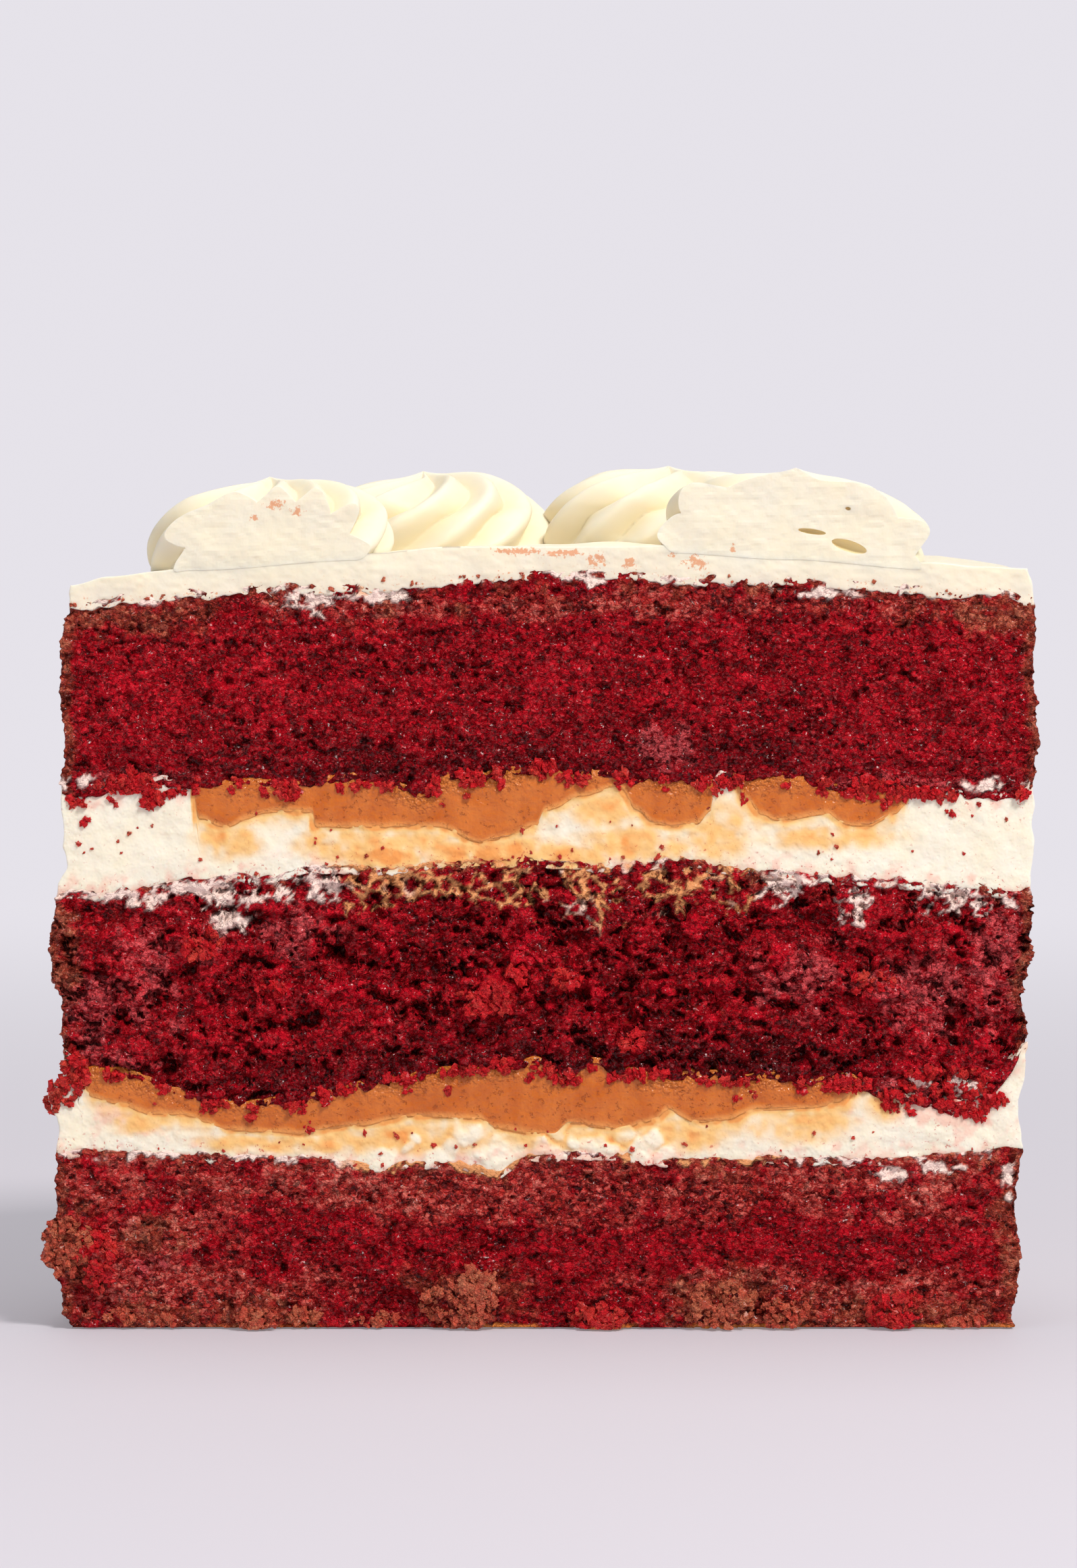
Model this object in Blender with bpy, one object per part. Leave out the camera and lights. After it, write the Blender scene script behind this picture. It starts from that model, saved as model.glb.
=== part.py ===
"""Half of a round three-layer red sponge cake, standing on its base with the cut face towards -Y.

From the base up: sponge, cream with a caramel filling, sponge, cream with two runs of caramel,
sponge, a top coat of frosting, and four piped rosettes, two of them cut through with the cake.
Sizes below are millimetres. X runs along the cut face, Y away from it, and Z up. The shapes are
worked out with the cut at Y = 0, and SHIFT_X and CUT_Y then centre the whole on the origin.
"""

import math

import bmesh
import bpy
from mathutils import Vector, noise

MM = 0.001

# Driving dimensions
RADIUS = 80.0
GAP = 0.3
CUT_Y = -38.8
SHIFT_X = 1.0
FILLING_DEPTH = 0.72
NEAR_CUT = 24.0

# The joints between the layers as they show on the cut face: (x, height), left to right.
LOWER_SPONGE_TOP = [(-80, 28.6), (-38, 27.4), (-10, 26.2), (2, 27.8), (40, 27.2), (80, 28.6)]
MIDDLE_SPONGE_BASE = [
    (-80, 45.5), (-70, 42.2), (-60, 39.3), (-48, 37.3), (-40, 37.5), (-30, 40.6), (-18, 42.9),
    (-2, 44.6), (8, 43.4), (25, 41.9), (50, 41.5), (60, 38.8), (68, 36.8), (74, 38.8), (80, 45.5),
]
MIDDLE_SPONGE_TOP = [
    (-80, 70.8), (-62, 72.6), (-45, 74.8), (-20, 76.0), (0, 76.6), (20, 76.2), (45, 73.8),
    (65, 72.8), (80, 71.2),
]
TOP_SPONGE_BASE = [
    (-80, 88.6), (-70, 90.6), (-50, 90.0), (-30, 90.9), (-15, 91.7), (2, 92.4), (18, 91.2),
    (36, 91.6), (50, 89.9), (66, 89.2), (76, 88.2), (80, 89.4),
]
TOP_SPONGE_TOP = [
    (-80, 119.0), (-60, 120.8), (-42, 121.8), (-26, 122.0), (-12, 123.6), (8, 123.9), (30, 122.9),
    (55, 122.0), (70, 120.9), (80, 119.6),
]
FROSTING_TOP = [
    (-80, 122.8), (-70, 124.6), (-58, 125.9), (-30, 127.8), (-14, 128.6), (10, 128.8), (40, 127.8),
    (66, 125.8), (80, 124.9),
]

# The underside of each caramel run, where it lies in the cream.
LOWER_CARAMEL = [
    (-76, 40.2), (-64, 35.6), (-57, 35.0), (-50, 32.6), (-38, 32.3), (-26, 34.5), (-12, 34.8),
    (-5, 32.4), (12, 32.8), (20, 35.8), (26, 34.1), (36, 36.0), (48, 36.9), (54, 40.2),
]
UPPER_CARAMEL = [
    (-58, 84.2), (-53, 82.8), (-48, 85.0), (-40, 85.4), (-37, 82.6), (-18, 82.8), (-11, 80.5),
    (-3, 82.3), (5, 87.8), (11, 89.6), (15, 85.4), (20, 82.8), (25, 83.4), (27.4, 88.4),
]
SIDE_CARAMEL = [(30.4, 90.0), (34, 85.8), (38, 84.0), (45, 84.9), (50, 83.0), (54, 83.2), (60, 88.4)]

# The left and right ends of the cut face at each height: (height, x).
LEFT_END = [
    (0, -79.2), (4, -80.0), (20, -80.3), (29, -80.4), (45, -79.2), (58, -80.9), (68, -80.9),
    (76, -79.6), (90, -79.0), (105, -79.4), (116, -78.8), (120, -77.9), (125, -77.2),
]
RIGHT_END = [
    (0, 77.6), (20, 78.2), (38, 78.6), (48, 79.4), (58, 78.8), (70, 80.0), (85, 80.0), (98, 81.0),
    (118, 80.4), (122, 80.0), (125.5, 79.0),
]

# Lumps of crumb that stand out of the cut face, and pits torn into it: (x, height, radius, reach).
LUMPS = [
    (-47.5, 2.6, 4.5, 2.4), (-12.0, 5.5, 8.0, 3.0), (9.5, 2.6, 5.0, 2.6), (29.0, 4.0, 6.0, 2.6),
    (40.0, 3.0, 4.5, 2.0), (58.0, 3.6, 5.0, 3.2), (-72.0, 10.0, 5.5, 2.4), (-9.5, 54.0, 5.5, 2.6),
    (-56.5, 63.5, 5.0, 1.8), (3.8, 57.4, 4.0, 1.6), (-4.0, 59.5, 3.5, 1.4), (35.0, 62.0, 5.0, 1.4),
    (6.0, 63.5, 4.0, -1.8), (-20.0, 58.0, 4.0, -1.6), (12.0, 50.0, 4.0, -1.4),
]
# Ragged tufts of crumb at the ends of the cut: (-1 left or 1 right, height, radius, reach).
TUFTS = [
    (-1, 13.5, 5.5, 3.6), (-1, 38.5, 4.5, 2.6), (-1, 61.0, 6.0, 0.8),
    (1, 97.5, 5.0, 0.9), (1, 63.0, 6.0, 0.9),
]

# The rosettes on the frosting: (name, x, y, radius, height, turn in degrees).
ROSETTES = [
    ("rosette_right", 41.2, 0.0, 22.6, 12.6, 4.0),
    ("rosette_back_right", 21.2, 40.2, 22.0, 13.2, 20.0),
    ("rosette_back_left", -20.6, 40.6, 22.0, 13.0, 5.0),
    ("rosette_left", -45.4, 11.5, 20.6, 12.6, 24.0),
]
ROSETTE_LIFT = 0.45
# How far from its limit a rosette's side begins to flatten against its neighbour.
SQUASH = 1.2
RIDGES = 11
RIDGE_DEPTH = 3.3
TWIST = math.radians(85)
# A rosette's outline from the middle of its foot out to the belly and in to the tip, as shares of
# its radius, of its height and of the ridges' depth.
ROSETTE_OUTLINE = [
    (0.0, 0.0, 0.0), (0.5, 0.0, 0.0), (0.9, 0.0, 0.25), (0.98, 0.12, 0.7), (1.0, 0.3, 1.0),
    (0.97, 0.5, 1.0), (0.89, 0.67, 1.0), (0.76, 0.81, 1.0), (0.58, 0.91, 0.95),
    (0.37, 0.97, 0.75), (0.16, 1.0, 0.4), (0.0, 1.06, 0.0),
]

# How finely each face is divided.
COLUMN_STEP = 4.3
SPONGE_DEPTHS = [0.0, 0.1, 0.32, 0.72, 1.0]
CREAM_DEPTHS = [0.0, 0.1, 0.32, 0.72, 0.735, 1.0]
CARAMEL_DEPTHS = [0.0, 0.1, 0.32, 0.716]
STEP_WIDTH = 0.7


def smooth(t):
    """An ease from 0 to 1."""
    t = min(1.0, max(0.0, t))
    return t * t * (3.0 - 2.0 * t)


def along(line, x):
    """A smooth line through the given points, level at its ends."""
    if x <= line[0][0]:
        return line[0][1]
    for (x0, z0), (x1, z1) in zip(line, line[1:]):
        if x <= x1:
            return z0 + (z1 - z0) * smooth((x - x0) / (x1 - x0))
    return line[-1][1]


def joint_height(line, x, y):
    """A joint between two layers: the line of the cut face near the cut, and a shallow dome inside."""
    left, right = line[0][1], line[-1][1]
    rise = along(line, 0.0) - (left + right) / 2.0
    reach = min(1.0, math.hypot(x, y) / RADIUS)
    inside = left + (right - left) * (1.0 + x / RADIUS) / 2.0 + rise * (1.0 - reach * reach)
    w = smooth(y / NEAR_CUT)
    wave = 0.9 * noise.noise(Vector((x / 17.0, y / 17.0, left / 9.0)))
    return (1.0 - w) * along(line, x) + w * (inside + wave)


def caramel_height(line, above, x, y):
    """The underside of a caramel run, never closer than 0.7 mm to the joint above it."""
    joint = joint_height(above, x, y)
    mean = joint - 6.0
    w = smooth(y / NEAR_CUT)
    return min((1.0 - w) * along(line, x) + w * mean, joint - GAP - 0.7)


def lumps_at(x, z):
    """How far the cut face stands out at a point, from the lumps and pits that the knife left."""
    out = 0.0
    for lump_x, lump_z, radius, reach in LUMPS:
        near = 1.0 - ((x - lump_x) ** 2 + (z - lump_z) ** 2) / radius**2
        if near > 0.0:
            out += reach * smooth(near)
    return out


def place(a, v, z, crumb):
    """A point of the half disc: a runs from the left end to the right, v from the cut to the round side."""
    plan_x = (1.0 - v) * a + v * math.sin(a * math.pi / 2.0)
    plan_y = v * math.cos(a * math.pi / 2.0)
    left, right = along(LEFT_END, z), along(RIGHT_END, z)
    half = (right - left) / 2.0
    x = (left + right) / 2.0 + half * plan_x
    y = half * plan_y
    inner = 1.0 - a**8
    shake = noise.noise(Vector((x / 6.0, z / 6.0, 3.0))) + 0.6 * noise.noise(Vector((x / 2.9, z / 2.9, 7.0)))
    y -= (crumb * shake + (lumps_at(x, z) if crumb > 0.3 else 0.0)) * inner * max(0.0, 1.0 - 10.0 * v)
    bulge = 0.7 * noise.noise(Vector((x / 11.0, y / 11.0, z / 7.0))) * inner * smooth((v - 0.7) / 0.3)
    for side, tuft_z, radius, reach in TUFTS:
        near = 1.0 - ((z - tuft_z) / radius) ** 2 - ((1.0 - side * a) * 9.0) ** 2
        if near > 0.0:
            x += side * reach * smooth(near)
    return Vector((x + bulge * plan_x, y + bulge * plan_y, z))


def sliced_block(columns, depths, levels):
    """A block over the given ranges, sliced by a plane at each inner column, depth and level."""
    bm = bmesh.new()
    bmesh.ops.create_cube(bm, size=1.0)
    low = Vector((columns[0], depths[0], levels[0]))
    high = Vector((columns[-1], depths[-1], levels[-1]))
    for vert in bm.verts:
        vert.co = Vector(low[i] + (high[i] - low[i]) * (vert.co[i] + 0.5) for i in range(3))
    for axis, cuts in enumerate((columns, depths, levels)):
        normal = Vector(1.0 if i == axis else 0.0 for i in range(3))
        for cut in cuts[1:-1]:
            everything = bm.verts[:] + bm.edges[:] + bm.faces[:]
            bmesh.ops.bisect_plane(bm, geom=everything, dist=1e-7, plane_co=normal * cut, plane_no=normal)
    return bm


def finish(name, bm, material, location):
    """Closes the corners, turns the faces outwards and makes the object."""
    bmesh.ops.remove_doubles(bm, verts=bm.verts[:], dist=1e-3)
    bmesh.ops.triangulate(bm, faces=[f for f in bm.faces if len(f.verts) > 3], quad_method="SHORT_EDGE")
    bmesh.ops.recalc_face_normals(bm, faces=bm.faces[:])
    bmesh.ops.scale(bm, vec=Vector((MM, MM, MM)), verts=bm.verts[:])
    mesh = bpy.data.meshes.new(name)
    bm.to_mesh(mesh)
    bm.free()
    mesh.shade_smooth()
    mesh.set_sharp_from_angle(angle=math.radians(50))
    mesh.materials.append(material)
    obj = bpy.data.objects.new(name, mesh)
    obj.location = location
    cake.objects.link(obj)
    return obj


def layer(name, columns, depths, levels, base, top, crumb, material):
    """A layer of the cake between two heights, each a function of the place in plan."""
    bm = sliced_block(columns, depths, levels)
    for vert in bm.verts:
        a, v, t = vert.co
        x = RADIUS * ((1.0 - v) * a + v * math.sin(a * math.pi / 2.0))
        y = RADIUS * v * math.cos(a * math.pi / 2.0)
        low, high = base(a, v, x, y), top(a, v, x, y)
        vert.co = place(a, v, low + (high - low) * t, crumb)
    return finish(name, bm, material, HOME)


def levels(count):
    """Even heights from 0 to 1."""
    return [i / count for i in range(count + 1)]


def inside_run(run, a, v):
    """Whether a place in plan lies over a caramel run."""
    return run[0][0] - 0.01 <= a * RADIUS <= run[-1][0] + 0.01 and v <= FILLING_DEPTH + 1e-6


def sponge(name, base_line, top_line, material):
    """A layer of sponge. The lowest one has no joint below it and is flat."""

    def base(a, v, x, y):
        return joint_height(base_line, x, y) if base_line else 0.0

    def top(a, v, x, y):
        return joint_height(top_line, x, y) - GAP

    return layer(name, COLUMNS, SPONGE_DEPTHS, levels(6), base, top, 0.55, material)


def cream(name, base_line, top_line, runs, material):
    """A layer of cream, hollowed where the caramel runs lie in it."""

    def base(a, v, x, y):
        return joint_height(base_line, x, y)

    def top(a, v, x, y):
        for run in runs:
            if inside_run(run, a, v):
                return caramel_height(run, top_line, x, y) - GAP
        return joint_height(top_line, x, y) - GAP

    return layer(name, COLUMNS, CREAM_DEPTHS, levels(3), base, top, 0.2, material)


def caramel(name, run, joint, material):
    """A run of caramel: it fills its hollow in the cream up to the sponge above."""
    first, last = run[0][0] / RADIUS, run[-1][0] / RADIUS
    inner = [c for c in COLUMNS if first + 1e-6 < c < last - 1e-6]
    columns = [first + GAP / RADIUS, *inner, last - GAP / RADIUS]

    def base(a, v, x, y):
        return caramel_height(run, joint, x, y)

    def top(a, v, x, y):
        return joint_height(joint, x, y) - GAP

    return layer(name, columns, CARAMEL_DEPTHS, levels(2), base, top, 0.12, material)


def frosting(name, material):
    """The coat of frosting over the top sponge."""

    def base(a, v, x, y):
        return joint_height(TOP_SPONGE_TOP, x, y)

    def top(a, v, x, y):
        return joint_height(FROSTING_TOP, x, y)

    return layer(name, COLUMNS, SPONGE_DEPTHS, levels(2), base, top, 0.2, material)


def squash(px, py, x, y, radius):
    """Presses a rosette's side flatter where the rosette meets its neighbours."""
    for _, next_x, next_y, next_radius, _, _ in ROSETTES:
        apart = math.hypot(next_x - x, next_y - y)
        if 0.0 < apart < radius + next_radius:
            towards = Vector((next_x - x, next_y - y)) / apart
            limit = apart * radius / (radius + next_radius) - GAP / 2.0
            reach = Vector((px - x, py - y)).dot(towards)
            over = reach - (limit - SQUASH)
            if over > 0.0:
                back = SQUASH - over - SQUASH * math.exp(-over / SQUASH)
                px, py = px + back * towards.x, py + back * towards.y
    return px, py


def rosette_point(angle, k, x, y, radius, height, turn):
    """A point of a rosette: the ridges of a star nozzle climb the side and turn in towards the tip."""
    share_r, share_z, share_ridge = ROSETTE_OUTLINE[k]
    climb = (k - 2) / (len(ROSETTE_OUTLINE) - 3)
    crest = abs(math.cos(RIDGES / 2.0 * (angle - TWIST * climb - math.radians(turn)))) ** 0.7
    cut = RIDGE_DEPTH * share_ridge * (1.0 - crest)
    r = max(0.0, radius * share_r - cut * (1.0 - smooth((share_z - 0.5) / 0.5)))
    px, py = squash(x + r * math.cos(angle), y + r * math.sin(angle), x, y, radius)
    foot = joint_height(FROSTING_TOP, px, max(0.0, py)) + ROSETTE_LIFT
    return Vector((px, py, foot + height * share_z - cut * smooth((share_z - 0.35) / 0.5)))


def rosette(name, x, y, radius, height, turn, material):
    """A piped rosette. One that reaches over the cut keeps only what lies behind it."""
    rows = len(ROSETTE_OUTLINE) - 1
    bm = bmesh.new()
    bmesh.ops.create_uvsphere(bm, u_segments=RIDGES * 4, v_segments=rows, radius=1.0)
    for vert in bm.verts:
        k = rows - round(math.acos(max(-1.0, min(1.0, vert.co.z))) / math.pi * rows)
        vert.co = rosette_point(math.atan2(vert.co.y, vert.co.x), k, x, y, radius, height, turn)
    if y < radius:
        everything = bm.verts[:] + bm.edges[:] + bm.faces[:]
        front = Vector((0.0, -1.0, 0.0))
        bmesh.ops.bisect_plane(
            bm, geom=everything, dist=1e-4, plane_co=Vector((0.0, 0.0, 0.0)), plane_no=front, clear_outer=True
        )
        bmesh.ops.contextual_create(bm, geom=[edge for edge in bm.edges if edge.is_boundary])
    return finish(name, bm, material, HOME)


def column_positions():
    """Evenly spaced columns along the cut, with a close pair at each end of a caramel run."""
    ends = []
    for run in (LOWER_CARAMEL, UPPER_CARAMEL, SIDE_CARAMEL):
        ends += [run[0][0] - STEP_WIDTH, run[0][0], run[-1][0], run[-1][0] + STEP_WIDTH]
    count = round(2 * RADIUS / COLUMN_STEP)
    even = [-RADIUS + 2 * RADIUS * i / count for i in range(count + 1)]
    clear = [x for x in even if min(abs(x - end) for end in ends) > 1.2]
    return sorted(x / RADIUS for x in clear + ends)


def make_material(name, colour, roughness):
    """A plain material with the part's colour and shine."""
    material = bpy.data.materials.new(name)
    material.use_nodes = True
    shader = material.node_tree.nodes["Principled BSDF"]
    shader.inputs["Base Color"].default_value = (*colour, 1.0)
    shader.inputs["Roughness"].default_value = roughness
    shader.inputs["Metallic"].default_value = 0.0
    return material


for old in list(bpy.data.objects):
    bpy.data.objects.remove(old)

cake = bpy.data.collections.new("layer_cake")
bpy.context.scene.collection.children.link(cake)

HOME = Vector((SHIFT_X, CUT_Y, 0.0)) * MM
COLUMNS = column_positions()

sponge_red = make_material("sponge", (0.27, 0.008, 0.02), 0.6)
cream_white = make_material("cream", (0.87, 0.8, 0.6), 0.45)
caramel_brown = make_material("caramel", (0.42, 0.16, 0.045), 0.3)
frosting_white = make_material("frosting", (0.88, 0.82, 0.62), 0.45)

sponge("sponge_lower", None, LOWER_SPONGE_TOP, sponge_red)
cream("cream_lower", LOWER_SPONGE_TOP, MIDDLE_SPONGE_BASE, [LOWER_CARAMEL], cream_white)
caramel("caramel_lower", LOWER_CARAMEL, MIDDLE_SPONGE_BASE, caramel_brown)
sponge("sponge_middle", MIDDLE_SPONGE_BASE, MIDDLE_SPONGE_TOP, sponge_red)
cream("cream_upper", MIDDLE_SPONGE_TOP, TOP_SPONGE_BASE, [UPPER_CARAMEL, SIDE_CARAMEL], cream_white)
caramel("caramel_upper", UPPER_CARAMEL, TOP_SPONGE_BASE, caramel_brown)
caramel("caramel_upper_side", SIDE_CARAMEL, TOP_SPONGE_BASE, caramel_brown)
sponge("sponge_top", TOP_SPONGE_BASE, TOP_SPONGE_TOP, sponge_red)
frosting("frosting", frosting_white)
for rosette_name, *shape in ROSETTES:
    rosette(rosette_name, *shape, frosting_white)
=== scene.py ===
"""The looks of half a red layer cake: torn moist crumb, soft cream, glossy caramel and piped rosettes.

Sizes are millimetres on the cake's own plan: X along the cut, Y back from the cut, Z up from the base.
settle() brings finished points into the frame, which is in metres.
"""

import math

import bmesh
import bpy
import numpy as np
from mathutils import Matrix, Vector


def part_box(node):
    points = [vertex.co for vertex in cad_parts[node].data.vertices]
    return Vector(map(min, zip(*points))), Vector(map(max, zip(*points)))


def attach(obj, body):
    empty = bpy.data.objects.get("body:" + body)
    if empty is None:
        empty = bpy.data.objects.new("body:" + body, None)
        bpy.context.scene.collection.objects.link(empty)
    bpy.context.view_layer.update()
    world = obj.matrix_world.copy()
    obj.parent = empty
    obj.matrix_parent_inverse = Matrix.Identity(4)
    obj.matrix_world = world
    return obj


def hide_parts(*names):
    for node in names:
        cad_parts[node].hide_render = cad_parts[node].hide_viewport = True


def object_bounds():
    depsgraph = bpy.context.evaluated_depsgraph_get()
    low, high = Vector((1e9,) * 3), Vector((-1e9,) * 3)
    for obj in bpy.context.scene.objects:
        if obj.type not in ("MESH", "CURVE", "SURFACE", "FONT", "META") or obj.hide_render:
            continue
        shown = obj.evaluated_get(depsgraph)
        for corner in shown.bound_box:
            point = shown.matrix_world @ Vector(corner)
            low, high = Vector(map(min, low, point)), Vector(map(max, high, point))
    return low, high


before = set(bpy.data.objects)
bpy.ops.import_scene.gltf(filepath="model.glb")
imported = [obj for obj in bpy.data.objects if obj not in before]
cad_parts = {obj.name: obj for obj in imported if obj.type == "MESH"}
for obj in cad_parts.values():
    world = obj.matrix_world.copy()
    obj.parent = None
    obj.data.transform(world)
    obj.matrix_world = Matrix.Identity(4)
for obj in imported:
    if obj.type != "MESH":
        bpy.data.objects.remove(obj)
cad_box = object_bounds()


# The three sponges. Red cake baked in tins, torn and smeared by the knife at the cut: a moist
# open crumb of small granules with pores, darker and wetter low down, with a thin browned
# crust round the side. The middle one has torn the most. Its pores, cracks and hollows are
# darkened with painted shade and its granule tops carry painted pink highlights.
MM = 0.001
RADIUS = 80.0
NEAR_CUT = 24.0
CUT_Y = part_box("rosette_left")[0][1] / MM
MIDDLE_X = 1.0
HUB_Y = 30.0
OVERLAP = 0.8
BOX_MARGIN = 0.0001

LOWER_SPONGE_TOP = [
    (-80, 28.7), (-69, 28.4), (-54, 27.8), (-38, 27.5), (-27, 26.2), (-15, 26.7), (-7, 25.4), (-1, 28.0),
    (10, 28.3), (22, 27.2), (30, 26.9), (42, 27.5), (54, 26.9), (66, 28.0), (80, 28.7),
]
MIDDLE_SPONGE_BASE = [
    (-80, 45.5), (-73, 42.9), (-64, 41.6), (-61, 39.4), (-55, 38.0), (-47, 37.2), (-41, 37.3), (-37, 38.6),
    (-31, 40.2), (-23, 41.6), (-18, 42.9), (-10, 43.4), (-2, 44.7), (4, 42.4), (8.5, 44.1), (13, 42.6),
    (22, 42.0), (42, 41.4), (48, 41.7), (54, 40.6), (59, 38.8), (66, 37.3), (68, 36.2), (74, 38.8),
    (80, 46.5),
]
MIDDLE_SPONGE_TOP = [
    (-80, 71.2), (-69, 71.5), (-58, 73.4), (-47, 74.0), (-37, 75.7), (-26, 75.3), (-15, 76.3), (-2, 76.8),
    (10, 75.5), (22, 76.5), (36, 74.6), (54, 73.6), (69, 72.7), (78, 70.9), (80, 71.6),
]
TOP_SPONGE_BASE = [
    (-80, 88.6), (-75, 88.5), (-69, 90.6), (-58, 90.0), (-42, 90.2), (-31, 91.1), (-24, 89.6), (-20.5, 88.2),
    (-16, 91.3), (2, 92.5), (13, 91.3), (24, 90.9), (36, 91.7), (42, 90.8), (48, 89.4), (54, 90.1),
    (66, 89.3), (72, 88.4), (78, 88.2), (80, 90.0),
]
TOP_SPONGE_TOP = [
    (-80, 119.0), (-69, 119.8), (-58, 120.9), (-47, 121.6), (-31, 121.7), (-20, 122.6), (-10, 123.7),
    (7, 123.9), (19, 123.3), (36, 122.8), (57, 121.9), (66, 120.8), (72, 121.2), (80, 119.8),
]

# The ends of the cut at each height: (height, x).
LEFT_END = [
    (0, -77.8), (2.4, -79.4), (6, -79.8), (10, -80.6), (19, -80.2), (29, -80.4), (45, -79.1), (53, -79.7),
    (59, -81.0), (68, -80.8), (73, -79.9), (76, -78.4), (80, -78.9), (90, -79.2), (95, -78.9), (108, -79.4),
    (116, -78.6), (119, -77.8), (125, -77.2),
]
RIGHT_END = [
    (0, 77.3), (7, 77.8), (11, 78.6), (20, 78.1), (29, 78.6), (37, 78.4), (42, 79.5), (50, 79.6),
    (55, 78.5), (63, 79.6), (70, 80.2), (77, 80.3), (91, 80.5), (98, 81.0), (106, 80.4), (116, 80.6),
    (122, 80.0), (125.5, 79.1),
]

# Lumps that stand out of the cut and pits torn into it: (x, height, radius, reach).
LUMPS = [
    (-47.5, 2.6, 4.5, 2.2), (-12.0, 5.5, 7.5, 2.4), (9.5, 2.6, 5.0, 2.2), (29.0, 4.0, 6.0, 2.2),
    (40.0, 3.0, 4.5, 1.8), (58.0, 3.6, 5.0, 2.4), (-72.0, 10.0, 5.5, 2.2), (-9.5, 54.6, 5.0, 2.3),
    (-56.5, 63.5, 4.5, 1.8), (3.8, 57.6, 3.2, 1.8), (-4.0, 59.5, 2.8, 1.6), (35.0, 62.0, 4.0, 1.4),
    (54.0, 57.0, 4.2, 1.3), (14.3, 47.4, 2.6, 1.6), (-62.0, 13.0, 4.0, 1.2), (-30.0, 66.0, 4.0, 1.4),
    (-38.0, 55.0, 3.6, 1.3), (24.0, 66.0, 3.4, 1.3), (62.0, 64.0, 4.0, 1.4), (-70.0, 57.0, 3.4, 1.4),
    (-66.0, 98.0, 4.0, 0.9), (-24.0, 104.0, 3.4, 0.8), (33.0, 99.0, 3.6, 0.9), (68.0, 106.0, 4.0, 0.9),
    (4.6, 62.5, 3.2, -2.2), (-20.0, 58.0, 3.8, -1.8), (12.0, 52.0, 3.4, -1.6), (-10.6, 58.6, 1.7, -1.6),
    (6.4, 56.0, 1.6, -1.6), (-4.8, 64.4, 1.6, -1.6), (-9.0, 49.6, 3.8, -1.8), (-34.0, 60.5, 3.0, -1.8),
    (27.0, 54.0, 3.2, -1.5), (45.0, 66.5, 3.0, -1.6), (68.0, 52.0, 3.0, -1.5), (-50.0, 53.0, 3.2, -1.5),
    (-77.0, 4.8, 2.6, -1.6), (-24.0, 3.0, 4.0, -1.4), (20.0, 7.5, 3.5, -1.0), (48.0, 5.5, 4.0, -1.2),
]
TUFTS = [
    (-1, 13.5, 4.6, 3.2), (-1, 38.0, 3.8, 2.6), (-1, 61.0, 6.0, 0.5), (1, 97.5, 4.0, 0.5),
    (1, 63.0, 6.0, 0.4),
]


def smooth(t):
    """An ease from 0 to 1."""
    t = np.clip(t, 0.0, 1.0)
    return t * t * (3.0 - 2.0 * t)


def along(line, x):
    """A smooth line through the given points, level at its ends."""
    xs, zs = np.array(line, float).T
    k = np.clip(np.searchsorted(xs, x) - 1, 0, len(xs) - 2)
    return zs[k] + (zs[k + 1] - zs[k]) * smooth((x - xs[k]) / (xs[k + 1] - xs[k]))


def wobble(x, y, z, size, seed=0):
    """Smooth noise from -1 to 1, with lumps about size across."""
    p = np.stack(np.broadcast_arrays(x, y, z)).astype(float) / size + seed * 17.31
    cell = np.floor(p)
    w = smooth(p - cell)
    total = 0.0
    for i in range(8):
        corner = np.array([i & 1, i >> 1 & 1, i >> 2 & 1], float).reshape(3, *[1] * (p.ndim - 1))
        spot = cell + corner
        draw = np.sin(spot[0] * 127.1 + spot[1] * 311.7 + spot[2] * 74.7) * 43758.5453
        share = np.prod(np.where(corner > 0.5, w, 1.0 - w), axis=0)
        total = total + share * (draw - np.floor(draw))
    return total * 2.0 - 1.0


def joint_height(line, x, y, torn=1.0):
    """A joint between two layers: the line of the cut face near the cut, and a shallow dome inside.

    Where it is torn it is ragged with crumb, and under a sponge it also hangs in small tongues.
    """
    left, right = line[0][1], line[-1][1]
    rise = float(along(line, 0.0)) - (left + right) / 2.0
    reach = np.minimum(1.0, np.hypot(x, y) / RADIUS)
    inside = left + (right - left) * (1.0 + x / RADIUS) / 2.0 + rise * (1.0 - reach * reach)
    w = smooth(y / NEAR_CUT)
    wave = 0.9 * wobble(x, y, left, 11.0) * w
    ragged = 0.5 * wobble(x, y, left, 2.6, 2) + 0.55 * wobble(x, y, left, 0.9, 5)
    if line in (MIDDLE_SPONGE_BASE, TOP_SPONGE_BASE):
        ragged = ragged - 2.6 * np.clip(wobble(x, y, left, 4.3, 9) - 0.28, 0.0, 1.0) * (1.0 - w)
    return (1.0 - w) * along(line, x) + w * inside + wave + torn * ragged


def spots(places, x, z):
    """A soft field that is 1 in the middle of each place (x, height, half width, half height)."""
    strength = np.zeros(np.shape(x))
    for place_x, place_z, wide, high in places:
        away = ((x - place_x) / wide) ** 2 + ((z - place_z) / high) ** 2
        strength = np.maximum(strength, np.exp(-away**1.3))
    return strength


def patchy(strength, grid, size, soft, seed):
    """A soft field made into ragged patches: it takes the spots of a noise first where it is strong."""
    x, y, z = np.moveaxis(grid, -1, 0)
    noise = 0.3 * wobble(x, y, z, size, seed) + 0.17 * wobble(x, y, z, size / 2.3, seed + 1)
    noise = noise + 0.1 * wobble(x, y, z, size / 5.0, seed + 2)
    over = strength + 0.5 + noise / 0.4 - 1.0
    return smooth((over + soft) / (2.0 * soft)) * smooth(strength / 0.12)


def lumps_at(x, z):
    """How far the cut stands out at a point, from its lumps and pits."""
    out = 0.0
    for lump_x, lump_z, radius, reach in LUMPS:
        near = 1.0 - ((x - lump_x) ** 2 + (z - lump_z) ** 2) / radius**2
        out = out + reach * smooth(near * 1.3)
    return out


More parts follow.
